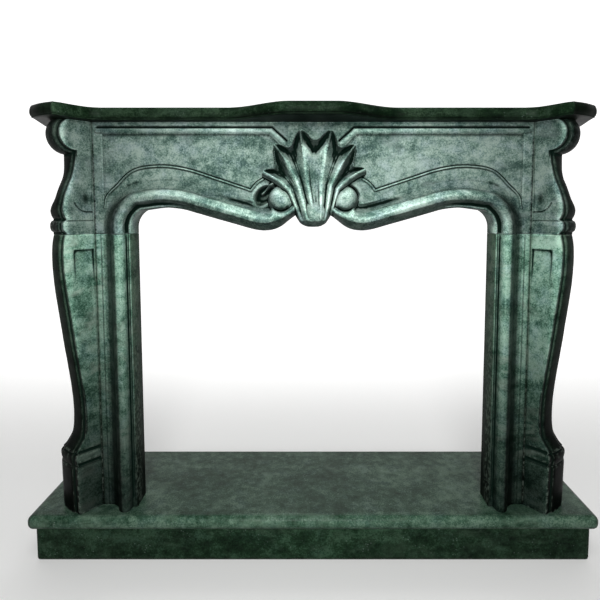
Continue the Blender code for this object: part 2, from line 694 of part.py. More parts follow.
def cap_profile():
    """Front of the cap as pairs of (reach, height), edge and rib: ring bead, swelling, neck and scroll."""
    foot = JAMB_HEIGHT + JOINT
    rise = SCROLL_HEIGHT - SCROLL_RADIUS - foot
    shares = [(0.903, 0.0), (0.903, 0.023), (0.960, 0.038), (0.994, 0.067), (1.0, 0.095), (0.994, 0.123),
              (0.960, 0.152), (0.898, 0.165), (0.881, 0.180), (0.932, 0.213), (0.972, 0.270), (0.977, 0.322),
              (0.949, 0.388), (0.881, 0.475), (0.784, 0.571), (0.682, 0.659), (0.602, 0.751), (0.545, 0.847),
              (0.506, 0.926)]
    pairs = with_rib([(SWELL_REACH * out, foot + rise * up) for out, up in shares])
    centre = (SCROLL_REACH, SCROLL_HEIGHT)
    roll_radius = SCROLL_RADIUS + SCROLL_ROLL_PROUD
    neck_rib = NECK_REACH + RIB_PROUD
    pairs.append((Vector((NECK_REACH, SCROLL_HEIGHT - SCROLL_RADIUS - 0.001)),
                  Vector((neck_rib, SCROLL_HEIGHT - roll_radius - 0.001))))
    ceiling = SOFFIT_HEIGHT - JOINT - SCROLL_HEIGHT
    disc = arc(centre, SCROLL_RADIUS, -86.0, math.degrees(math.asin(ceiling / SCROLL_RADIUS)), 12)
    roll = arc(centre, roll_radius, -84.0, math.degrees(math.asin(ceiling / roll_radius)), 12)
    pairs += [(edge, Vector((max(rib.x, neck_rib), rib.y))) for edge, rib in zip(disc, roll)]
    return pairs


def leg_profile():
    """Front of the leg as pairs of (reach, height), edge and rib: foot with its band, ankle and knee."""
    foot = [(0.958, 0.0), (0.973, 0.235), (0.980, 0.510), (0.939, 0.537), (0.973, 0.557), (1.0, 0.620),
            (0.973, 0.667), (0.932, 0.684), (0.973, 0.706), (0.871, 0.745), (0.748, 0.792), (0.639, 0.843),
            (0.585, 0.922), (0.565, 1.0)]
    shin = [(0.4655, 0.047), (0.480, 0.112), (0.522, 0.187), (0.599, 0.289), (0.698, 0.406), (0.791, 0.532),
            (0.876, 0.644), (0.9435, 0.737), (0.989, 0.821), (1.0, 0.887), (0.983, 0.942), (0.949, 0.976),
            (0.915, 1.0)]
    ankle = ANKLE_TOP - JOINT
    rise = JAMB_HEIGHT - JOINT - ANKLE_TOP
    points = [(FOOT_REACH * out, JOINT + ankle * up) for out, up in foot]
    points += [(KNEE_REACH * out, ANKLE_TOP + rise * up) for out, up in shin]
    return with_rib(points)


def console(name, profile, width_at, collection, colour):
    """One part of the right console: plan sections stacked along its front profile.

    Each section starts at the joint with the jamb, runs along the visible side, across the front with
    its raised rib, and back to the return.
    """
    forward = Vector((math.sin(CANT), -math.cos(CANT)))
    across = Vector((math.cos(CANT), math.sin(CANT)))
    corner = Vector((FRAME_HALF + JOINT, FRAME_Y))
    far_x = corner.x + across.x * CONSOLE_WIDTH
    back_y = FRAME_Y + CONSOLE_DEPTH
    builder = bmesh.new()
    fronts = []
    for edge, rib in profile:
        scale = width_at(edge.y) / CONSOLE_WIDTH
        row = []
        for place, raised in ((0.0, 0.0), (RIB_START, 0.0), (RIB_START + RIB_BEVEL, 0.85),
                              ((RIB_START + RIB_END) / 2, 1.0), (RIB_END - RIB_BEVEL, 0.85), (RIB_END, 0.0),
                              (CONSOLE_WIDTH, 0.0)):
            reach = edge + (rib - edge) * raised
            plan = corner + forward * reach.x + across * place * scale
            row.append(builder.verts.new((plan.x, plan.y, reach.y + HEARTH_TOP)))
        fronts.append(row)
    low, high = fronts[0][0].co.z, fronts[-1][0].co.z
    posts = []
    for x, y in ((corner.x, corner.y), (corner.x, back_y), (far_x, back_y)):
        posts.append((builder.verts.new((x, y, low)), builder.verts.new((x, y, high))))
    far_y = corner.y + across.y * CONSOLE_WIDTH
    for row in fronts:
        row.append(builder.verts.new((far_x, far_y, row[0].co.z)))
    for row, upper in zip(fronts, fronts[1:]):
        for a, b, c, d in zip(row, row[1:], upper[1:], upper):
            builder.faces.new((a, b, c, d))
    near, inner, outer = posts
    builder.faces.new([near[0], *[row[0] for row in fronts], near[1]])
    builder.faces.new([outer[0], *[row[-1] for row in fronts], outer[1]])
    for first, second in ((near, inner), (inner, outer)):
        builder.faces.new((first[0], second[0], second[1], first[1]))
    builder.faces.new([near[0], inner[0], outer[0], *reversed(fronts[0])])
    builder.faces.new([near[1], inner[1], outer[1], *reversed(fronts[-1])])
    return finish_mesh(name, builder, collection, colour, 30.0)


def cap_width(height):
    """The neck under the scroll is pinched in on the outer side."""
    share = (height - JAMB_HEIGHT) / (SCROLL_HEIGHT - JAMB_HEIGHT)
    pinch = smoothstep(0.217, 0.382, share) * (1.0 - smoothstep(0.548, 0.842, share))
    return CONSOLE_WIDTH + (NECK_WIDTH - CONSOLE_WIDTH) * pinch


def leg_width(height):
    """The foot is wider than the leg, on the outer side, and the leg narrows a little to its top."""
    shin = FOOT_WIDTH + (CONSOLE_WIDTH - FOOT_WIDTH) * smoothstep(0.620, 0.753, height / ANKLE_TOP)
    return shin + (LEG_TOP_WIDTH - CONSOLE_WIDTH) * smoothstep(0.7585, 0.948, height / JAMB_HEIGHT)


def sink_leg_panel(leg, side, cutters):
    """Cut the shallow sunk panel into a leg's visible side: deep at its top, running out below.

    side is 1 for the leg on +x and -1 for the other.
    """
    forward = Vector((math.sin(CANT), -math.cos(CANT), 0.0))
    across = Vector((math.cos(CANT), math.sin(CANT), 0.0))
    corner = Vector((FRAME_HALF + JOINT, FRAME_Y, HEARTH_TOP))
    builder = bmesh.new()
    made = bmesh.ops.create_cube(builder, size=1.0)
    clearance = 0.020
    for vertex in made["verts"]:
        upper = vertex.co.z > 0.0
        reach = LEG_PANEL_REACH if vertex.co.x > 0.0 else -clearance
        depth = -clearance
        if vertex.co.y > 0.0:
            depth = LEG_PANEL_SUNK if upper else -0.001
        height = JAMB_HEIGHT - LEG_PANEL_DROP - (0.0 if upper else LEG_PANEL_LENGTH)
        vertex.co = corner + forward * reach + across * depth + Vector((0.0, 0.0, height))
        vertex.co.x *= side
    cutter = finish_mesh(leg.name + "_panel_cutter", builder, cutters, (0.5, 0.5, 0.5))
    cutter.hide_render = True
    cutter.display_type = "WIRE"
    cut = leg.modifiers.new("sunk_panel", "BOOLEAN")
    cut.operation = "DIFFERENCE"
    cut.solver = "EXACT"
    cut.object = cutter


def consoles(collection, cutters):
    """Both canted pilasters, each a cap on a leg, and the plain returns behind them."""
    light, dark = (0.120, 0.180, 0.140), (0.075, 0.120, 0.080)
    cap = console("console_cap_right", cap_profile(), cap_width, collection, light)
    mirrored(cap, "console_cap_left", collection, light)
    leg = console("console_leg_right", leg_profile(), leg_width, collection, dark)
    other = mirrored(leg, "console_leg_left", collection, dark)
    sink_leg_panel(leg, 1, cutters)
    sink_leg_panel(other, -1, cutters)
    outer = FRAME_HALF + JOINT + math.cos(CANT) * CONSOLE_WIDTH
    start = FRAME_Y + CONSOLE_DEPTH + JOINT
    for name, sign in (("side_return_right", 1), ("side_return_left", -1)):
        edges = sorted((sign * outer, sign * (outer - RETURN_THICK)))
        slab = box(edges[0], edges[1], start, WALL_Y, HEARTH_TOP + JOINT, HEARTH_TOP + SOFFIT_HEIGHT - JOINT)
        finish_mesh(name, slab, collection, dark)


# Mantelshelf

def shelf_outline():
    """Plan of the shelf as (x, y), from the middle of the front round to the wall on the +x side."""
    straight = WALL_Y - SHELF_FRONT
    bow = []
    for step in range(13):
        x = SHELF_BOW_HALF * step / 12
        bow.append(Vector((x, straight - SHELF_BOW * smoothstep(SHELF_BOW_HALF, SHELF_BOW_CROWN, x))))
    peak = Vector((FRAME_HALF + EAR_PEAK_BEYOND, straight - EAR_PEAK_OUT))
    tip = Vector((FRAME_HALF + EAR_TIP_BEYOND, straight - EAR_TIP_OUT))
    start = FRAME_HALF - EAR_START_IN
    half = FRAME_HALF + SHELF_BEYOND
    inner = spline([Vector((start, straight)), Vector((start + 0.026, straight - 0.0095)),
                    Vector((start + 0.050, straight - 0.0370)),
                    Vector((start + 0.069, straight - 0.0650)), peak], 3)
    front = spline([peak, (peak + tip) / 2 + Vector((0.003, -0.004)), tip], 3)
    wide = Vector((half, tip.y + EAR_FLANK_BACK))
    flank = spline([tip, tip + Vector((0.006, 0.030)), wide - Vector((0.014, 0.052)), wide], 3)
    return [*bow, *inner, *front[1:], *flank[1:], Vector((half, WALL_Y))]


def mantelshelf(collection):
    """The slab over everything: stacked copies of its plan, drawn in to form the moulded edge."""
    half = shelf_outline()
    plan = [Vector((-p.x, p.y)) for p in reversed(half[1:])] + half
    normals = normals_of(plan)
    normals[0], normals[-1] = Vector((1.0, 0.0)), Vector((-1.0, 0.0))
    low = HEARTH_TOP + SOFFIT_HEIGHT
    top = low + SHELF_THICK
    section = ((SHELF_FILLET, low), (SHELF_FILLET, low + 0.003), (0.0018, low + 0.0055), (0.0, low + 0.013),
               (0.0006, low + 0.021), (0.0034, top - 0.0042), (SHELF_NOSE, top))
    builder = bmesh.new()
    rings = []
    for inset, height in section:
        ring = []
        for point, normal in zip(plan, normals):
            placed = point + normal * inset
            ring.append(builder.verts.new((placed.x, min(placed.y, WALL_Y), height)))
        rings.append(ring)
    for ring, upper in zip(rings, rings[1:]):
        for a, b, c, d in zip(ring, ring[1:], upper[1:], upper):
            builder.faces.new((a, b, c, d))
    builder.faces.new(rings[0])
    builder.faces.new(rings[-1])
    ends = [ring[0] for ring in rings] + [ring[-1] for ring in reversed(rings)]
    builder.faces.new(ends)
    finish_mesh("mantelshelf", builder, collection, (0.055, 0.085, 0.060), 35.0)


def main():
    clear_scene()
    pieces = make_collection("fireplace_mantel")
    cutters = make_collection("cutters")
    hearth(pieces)
    jambs(pieces)
    frieze(pieces)
    consoles(pieces, cutters)
    mantelshelf(pieces)


main()
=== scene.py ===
"""Looks of the carved green marble mantel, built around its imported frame.

Each visible piece of stone is carved again as a finer mesh over its solid: the frieze with its arch
moulding, scrolls and shell, the jambs, the canted consoles, the shelf and the hearth. Every size is
read from the frame or named here, in metres. Heights of the surround count from the top of the hearth.
"""

import logging
import math
from collections.abc import Callable
from dataclasses import dataclass, field
from enum import Enum

import bmesh
import bpy
import numpy as np
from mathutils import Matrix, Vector
from mathutils.geometry import delaunay_2d_cdt


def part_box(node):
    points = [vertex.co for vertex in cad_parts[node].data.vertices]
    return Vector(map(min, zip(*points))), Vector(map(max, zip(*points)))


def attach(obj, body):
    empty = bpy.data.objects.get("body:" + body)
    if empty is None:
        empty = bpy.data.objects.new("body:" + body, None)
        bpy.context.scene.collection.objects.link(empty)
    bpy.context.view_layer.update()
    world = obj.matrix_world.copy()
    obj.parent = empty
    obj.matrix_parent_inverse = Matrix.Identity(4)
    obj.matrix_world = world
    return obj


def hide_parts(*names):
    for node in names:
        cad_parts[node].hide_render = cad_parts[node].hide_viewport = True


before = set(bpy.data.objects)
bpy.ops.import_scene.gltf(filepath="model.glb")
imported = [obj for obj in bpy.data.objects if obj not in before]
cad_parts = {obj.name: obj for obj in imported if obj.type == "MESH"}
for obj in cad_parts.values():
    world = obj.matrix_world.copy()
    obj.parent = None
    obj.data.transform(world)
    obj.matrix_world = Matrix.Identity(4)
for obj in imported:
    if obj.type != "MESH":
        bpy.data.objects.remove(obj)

log = logging.getLogger("mantel")

JOINT = 0.0003
FRAME_DEPTH = 0.0600
CANT = math.radians(40.0)
SHARP_ANGLE = math.radians(48.0)
RIM_STEP = 0.0042
CELL = 0.0030
FINE_ROUNDS = 4
WIDE_ROUNDS = 60
BACKWARD = 0.25
# Levels on the hidden backs: no darkening from hollows, and a middling turn towards the light for the painted
# shade.
PLAIN_LEVELS = {"fine_hollow": 0.0, "wide_hollow": 0.0, "light_facing": 0.30}
# Colour that the hollows darken towards: soiling and painted shade.
GRIME_AND_SHADE_COLOUR = (0.0030, 0.0095, 0.0065)
SPECK_COLOUR = (0.34, 0.44, 0.40)
# Tint of the veil: painted shade on soffits, reveals and console fronts, and darker joints.
VEIL_TINT = (0.15, 0.17, 0.14)
COOL_TINT = (0.98, 0.94, 1.18)
# How dark the painted shade leaves faces turned from the light.
SHADE = 0.13


class Slot(Enum):
    """Material slots of the record."""

    SHELF = "shelf_marble"
    CARVED = "carved_marble"
    UPRIGHT = "upright_marble"
    HEARTH = "hearth_marble"
    RISER = "riser_marble"


# Shapes in numbers

def smoothstep(low: float, high: float, value: np.ndarray) -> np.ndarray:
    """Ease from 0 at low to 1 at high.

    Args:
        low: Where the step starts.
        high: Where the step is complete, above or below low.
        value: Places to read.

    Returns:
        The share of the step at each place.
    """
    share = np.clip((value - low) / (high - low), 0.0, 1.0)
    return share * share * (3.0 - 2.0 * share)


def rounded(stops: tuple, value: np.ndarray) -> np.ndarray:
    """Read a section with soft turns between its stops.

    Args:
        stops: Pairs of place and level, in rising order of place.
        value: Places to read.

    Returns:
        The level at each place, on a monotone cubic curve through the stops.
    """
    place = np.array([s[0] for s in stops])
    level = np.array([s[1] for s in stops])
    run = np.diff(place)
    slope = np.diff(level) / run
    tangent = np.zeros(len(place))
    same_way = slope[:-1] * slope[1:] > 0.0
    mean = 2.0 * slope[:-1] * slope[1:] / np.where(same_way, slope[:-1] + slope[1:], 1.0)
    tangent[1:-1] = np.where(same_way, mean, 0.0)
    tangent[0], tangent[-1] = slope[0], slope[-1]
    at = np.clip(value, place[0], place[-1])
    low = np.clip(np.searchsorted(place, at, side="right") - 1, 0, len(run) - 1)
    width = run[low]
    t = (at - place[low]) / width
    return ((1 + 2 * t) * (1 - t) ** 2 * level[low] + t * (1 - t) ** 2 * width * tangent[low]
            + t * t * (3 - 2 * t) * level[low + 1] + t * t * (t - 1) * width * tangent[low + 1])


def spline(points: list, spacing: float) -> np.ndarray:
    """Smooth curve through points, with the first and the last kept.

    Args:
        points: Points of the curve.
        spacing: Rough length between the points that come back.

    Returns:
        The curve's points, one a row.
    """
    knots = np.array(points, float)
    padded = np.vstack([2 * knots[0] - knots[1], knots, 2 * knots[-1] - knots[-2]])
    curve = []
    for before, start, end, after in zip(padded, padded[1:], padded[2:], padded[3:]):
        steps = max(1, round(float(np.linalg.norm(end - start)) / spacing))
        for step in range(steps):
            t = step / steps
            curve.append(0.5 * (2 * start + (end - before) * t
                                + (2 * before - 5 * start + 4 * end - after) * t * t
                                + (3 * start - before - 3 * end + after) * t * t * t))
    curve.append(knots[-1])
    return np.array(curve)


def arc(centre: tuple, radius: float, start: float, end: float, steps: int) -> np.ndarray:
    """Points on a circle from one angle to another.

    Args:
        centre: Middle of the circle.
        radius: Its radius.
        start: First angle in degrees from +x.
        end: Last angle in degrees.
        steps: Number of pieces.

    Returns:
        The points, one a row.
    """
    turn = np.radians(np.linspace(start, end, steps + 1))
    return np.array(centre) + radius * np.stack([np.cos(turn), np.sin(turn)], axis=1)


def left_of(curve: np.ndarray) -> np.ndarray:
    """Unit normals on the left of a running curve, one a row."""
    run = np.gradient(curve, axis=0)
    run /= np.maximum(np.linalg.norm(run, axis=1, keepdims=True), 1e-12)
    return np.stack([-run[:, 1], run[:, 0]], axis=1)


def distance(curve: np.ndarray, places: np.ndarray) -> np.ndarray:
    """Shortest way from each place to a run of straight pieces.

    Args:
        curve: Corners of the run, one a row.
        places: Places to read, one a row.

    Returns:
        One distance a place.
    """
    best = np.full(len(places), 1e9)
    for start, end in zip(curve, curve[1:]):
        along = end - start
        share = np.clip((places - start) @ along / max(float(along @ along), 1e-12), 0.0, 1.0)
        gap = places - start - share[:, None] * along
        best = np.minimum(best, np.einsum("ij,ij->i", gap, gap))
    return np.sqrt(best)


def inside(polygon: np.ndarray, places: np.ndarray) -> np.ndarray:
    """Which places lie within a closed outline.

    Args:
        polygon: Corners of the outline, one a row.
        places: Places to test, one a row.

    Returns:
        True for each place within.
    """
    result = np.zeros(len(places), bool)
    x, z = places[:, 0], places[:, 1]
    for a, b in zip(polygon, np.roll(polygon, -1, axis=0)):
        spans = (a[1] > z) != (b[1] > z)
        rise = b[1] - a[1] if abs(b[1] - a[1]) > 1e-12 else 1e-12
        result ^= spans & (x < a[0] + (b[0] - a[0]) * (z - a[1]) / rise)
    return result


def uneven(places: np.ndarray, pitch: float, seed: float) -> np.ndarray:
    """Slow unevenness of a hand-cut surface, from -1 to 1.

    Args:
        places: Places in any number of dimensions, one a row.
        pitch: Rough distance from one swell to the next.
        seed: Sets surfaces apart.

    Returns:
        One level a place.
    """
    total = np.zeros(len(places))
    for octave in range(5):
        turn = seed + 2.4 * octave + np.arange(places.shape[1]) * 1.7
        wave = np.cos(turn) * (1.0 + 0.37 * octave) * 2.0 * math.pi / pitch
        total += np.sin(places @ wave + 3.1 * seed * (octave + 1)) / (1.0 + 0.5 * octave)
    return total / 2.9


# Sizes read from the frame

@dataclass(frozen=True)
class Sizes:
    """Driving sizes of the surround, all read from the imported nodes.

    Args:
        frame_half: Half width of the frame.
        opening_half: Half width of the opening.
        jamb: Height of the jambs over the hearth.
        soffit: Height of the shelf's underside over the hearth.
        hearth_top: Height of the hearth over the floor.
        face: Place of the frame's plane along y.
        back: Place of the frame's back along y.
        wall: Place of the wall along y.
        shelf_low: Lowest corner of the shelf.
        shelf_high: Highest corner of the shelf.
        slab_low: Lowest corner of the hearth slab.
        slab_high: Highest corner of the hearth slab.
    """

    frame_half: float
    opening_half: float
    jamb: float
    soffit: float
    hearth_top: float
    face: float
    back: float
    wall: float
    shelf_low: Vector
    shelf_high: Vector
    slab_low: Vector
    slab_high: Vector


def read_sizes() -> Sizes:
    """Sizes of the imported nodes."""
    jamb_low, jamb_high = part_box("jamb_right")
    frieze_low, frieze_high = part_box("frieze")
    shelf_low, shelf_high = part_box("mantelshelf")
    slab_low, slab_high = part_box("hearth_slab")
    return Sizes(frame_half=frieze_high.x + JOINT, opening_half=jamb_low.x,
                 jamb=frieze_low.z - JOINT - slab_high.z, soffit=shelf_low.z - slab_high.z,
                 hearth_top=slab_high.z, face=jamb_high.y - FRAME_DEPTH, back=jamb_high.y, wall=slab_high.y,
                 shelf_low=shelf_low, shelf_high=shelf_high, slab_low=slab_low, slab_high=slab_high)


# Meshes

def hollows(points: np.ndarray, normals: np.ndarray, pairs: np.ndarray, rounds: int) -> np.ndarray:
    """How far each point lies below or above its blurred surroundings.

    Args:
        points: Vertices, one a row.
        normals: Vertex normals, one a row.
        pairs: Neighbours, both ways, one a row.
        rounds: Rounds of blurring, which set the width.

    Returns:
        Metres below the surroundings, negative on arrises.
    """
    length = np.linalg.norm(points[pairs[:, 0]] - points[pairs[:, 1]], axis=1)
    weight = 1.0 / (length + 0.0002) ** 2
    count = np.maximum(np.bincount(pairs[:, 0], weights=weight, minlength=len(points)), 1e-9)[:, None]
    soft = points.copy()
    for _ in range(rounds):
        total = np.stack([np.bincount(pairs[:, 0], weights=weight * soft[pairs[:, 1], axis],
                                      minlength=len(points)) for axis in range(3)], axis=1)
        soft = 0.5 * soft + 0.5 * total / count
    return np.einsum("ij,ij->i", soft - points, normals)


def light_facing(points: np.ndarray, normals: np.ndarray) -> np.ndarray:
    """How far each point turns towards the light, which falls from the front, the top and the middle; it
    drives the painted shade and the painted highlights.

    Args:
        points: Vertices, one a row.
        normals: Vertex normals, one a row.

    Returns:
        1 where the face turns up, forward and to the middle, 0 or less where it turns away.
    """
    inward = -1.1 * np.clip(points[:, 0] / 0.55, -1.0, 1.0)
    way = np.stack([inward, np.full(len(points), -0.65), np.full(len(points), 0.62)], axis=1)
    way /= np.linalg.norm(way, axis=1, keepdims=True)
    return np.einsum("ij,ij->i", way, normals)


def make_piece(name: str, points: np.ndarray, faces: list, slot: Slot, finish: "Marble", *nodes: str,
               veil: Callable | None = None) -> bpy.types.Object:
    """Turn points and faces into a dressed piece that rides on the frame and stands for CAD nodes.

    Args:
        name: Name of the piece.
        points: Vertices, one a row.
        faces: Lists of vertex numbers.
        slot: Material slot of the record; not used.
        finish: Stone that dresses the piece.
        nodes: CAD nodes that the piece replaces.
        veil: Gives the share of painted shade, and of darkening along joints, at vertices, one share a row.

    Returns:
        The new object.
    """
    mesh = bpy.data.meshes.new(name)
    mesh.from_pydata(np.asarray(points, float).tolist(), [], faces)
    builder = bmesh.new()
    builder.from_mesh(mesh)
    bmesh.ops.remove_doubles(builder, verts=builder.verts, dist=1e-6)
    bmesh.ops.recalc_face_normals(builder, faces=builder.faces)
    if builder.calc_volume(signed=True) < 0.0:
        bmesh.ops.reverse_faces(builder, faces=builder.faces)
    builder.to_mesh(mesh)
    builder.free()
    mesh.shade_smooth()
    mesh.set_sharp_from_angle(angle=SHARP_ANGLE)
    spots = np.empty(len(mesh.vertices) * 3)
    mesh.vertices.foreach_get("co", spots)
    spots = spots.reshape(-1, 3)
    turned = np.empty(len(mesh.vertices) * 3)
    mesh.vertex_normals.foreach_get("vector", turned)
    turned = turned.reshape(-1, 3)
    sides = np.empty(len(mesh.edges) * 2, np.int64)
    mesh.edges.foreach_get("vertices", sides)
    one_way = sides.reshape(-1, 2)
    pairs = np.vstack([one_way, one_way[:, ::-1]])
    # Hollow levels drive soiling and painted shade in the hollows; the turn towards the light drives painted
    # shade and painted highlights.
    levels = {"fine_hollow": hollows(spots, turned, pairs, FINE_ROUNDS) * 1000.0,
              "wide_hollow": hollows(spots, turned, pairs, WIDE_ROUNDS) * 1000.0,
              "light_facing": light_facing(spots, turned),
              "veil": veil(spots) if veil else np.zeros(len(spots))}
    behind = (spots[:, 1] > spots[:, 1].max() - 0.0005) | (turned[:, 1] > BACKWARD)
    for label, plain in PLAIN_LEVELS.items():
        levels[label][behind] = plain
    for label, values in levels.items():
        layer = mesh.attributes.new(label, "FLOAT", "POINT")
        layer.data.foreach_set("value", values.astype(np.float32))
    piece = bpy.data.objects.new(name, mesh)
    bpy.context.scene.collection.objects.link(piece)
    mesh.materials.append(finish.material())
    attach(piece, "root")
    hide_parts(*nodes)
    log.info("%s: %d vertices", name, len(mesh.vertices))
    return piece


def strip(rows: list, closed: bool) -> list:
    """Quads between neighbouring rows of equal length.

    Args:
        rows: Lists of vertex numbers.
        closed: Whether each row runs on from its end to its start.

    Returns:
        The quads.
    """
    faces = []
    for row, after in zip(rows, rows[1:]):
        width = len(row)
        for i in range(width if closed else width - 1):
            j = (i + 1) % width
            faces.append((row[i], row[j], after[j], after[i]))
    return faces


# Shader maths

class Sock:
    """A shader value that adds Math nodes as it is worked with."""

    def __init__(self, tree: bpy.types.NodeTree, socket: bpy.types.NodeSocket) -> None:
        """Wrap one output socket of a tree."""
        self.tree = tree
        self.socket = socket

    def _math(self, operation: str, *values: "Sock | float") -> "Sock":
        """Result of a Math node on sockets or numbers."""
        return Shader(self.tree).node("ShaderNodeMath", {"operation": operation}, dict(enumerate(values)))

    def __add__(self, other: "Sock | float") -> "Sock":
        """Sum."""
        return self._math("ADD", self, other)

    __radd__ = __add__

    def __sub__(self, other: "Sock | float") -> "Sock":
        """Difference."""
        return self._math("SUBTRACT", self, other)

    def __rsub__(self, other: float) -> "Sock":
        """Difference from a number."""
        return self._math("SUBTRACT", other, self)

    def __mul__(self, other: "Sock | float") -> "Sock":
        """Product."""
        return self._math("MULTIPLY", self, other)

    __rmul__ = __mul__

    def __abs__(self) -> "Sock":
        """The value without its sign."""
        return self._math("ABSOLUTE", self)

    def ramp(self, low: float, high: float) -> "Sock":
        """Ease from 0 at low to 1 at high, within those ends."""
        return Shader(self.tree).node("ShaderNodeMapRange", {"interpolation_type": "SMOOTHSTEP"},
                                      {"Value": self, "From Min": low, "From Max": high})

    def clamp(self) -> "Sock":
        """The value held between 0 and 1."""
        return Shader(self.tree).node("ShaderNodeClamp", {}, {"Value": self})


class Shader:
    """Short calls for the nodes that the stones are made of."""

    def __init__(self, tree: bpy.types.NodeTree) -> None:
        """Work in one node tree."""
        self.tree = tree

    def node(self, kind: str, settings: dict, inputs: dict, output: int | str = 0) -> Sock:
        """Add any node.

        Args:
            kind: Type of the node.
            settings: Properties that are set first.
            inputs: Values or links by the socket's name or number.
            output: Which output comes back.

        Returns:
            The chosen output.
        """
        made = self.tree.nodes.new(kind)
        for label, value in settings.items():
            setattr(made, label, value)
        for label, value in inputs.items():
            if isinstance(value, Sock):
                self.tree.links.new(value.socket, made.inputs[label])
            else:
                made.inputs[label].default_value = value
        return Sock(self.tree, made.outputs[output])

    def mix(self, share: "Sock | float", first: "Sock | tuple", second: "Sock | tuple") -> Sock:
        """Blend two colours by a share."""
        colours = {6: first if isinstance(first, Sock) else (*first, 1.0),
                   7: second if isinstance(second, Sock) else (*second, 1.0)}
        return self.node("ShaderNodeMix", {"data_type": "RGBA"}, {0: share, **colours}, 2)

    def scale(self, colour: Sock, share: "Sock | float") -> Sock:
        """Brighten or darken a colour."""
        return self.node("ShaderNodeVectorMath", {"operation": "SCALE"}, {0: colour, "Scale": share})

    def tint(self, colour: Sock, factors: tuple) -> Sock:
        """Multiply a colour channel by channel."""
        return self.node("ShaderNodeVectorMath", {"operation": "MULTIPLY"}, {0: colour, 1: factors})

    def noise(self, place: Sock, scale: float, detail: float = 4.0, rough: float = 0.55,
              bend: float = 0.0) -> Sock:
        """Cloudy noise around one half."""
        return self.node("ShaderNodeTexNoise", {}, {"Vector": place, "Scale": scale, "Detail": detail,
                                                    "Roughness": rough, "Distortion": bend})

    def attribute(self, name: str) -> Sock:
        """A value stored on the mesh."""
        return self.node("ShaderNodeAttribute", {"attribute_name": name}, {}, "Fac")

    def place(self) -> Sock:
        """Place on the object in metres."""
        return self.node("ShaderNodeTexCoord", {}, {}, "Object")

    def along(self, place: Sock, axis: str) -> Sock:
        """One coordinate of a place."""
        return self.node("ShaderNodeSeparateXYZ", {}, {"Vector": place}, axis)


# Finishes

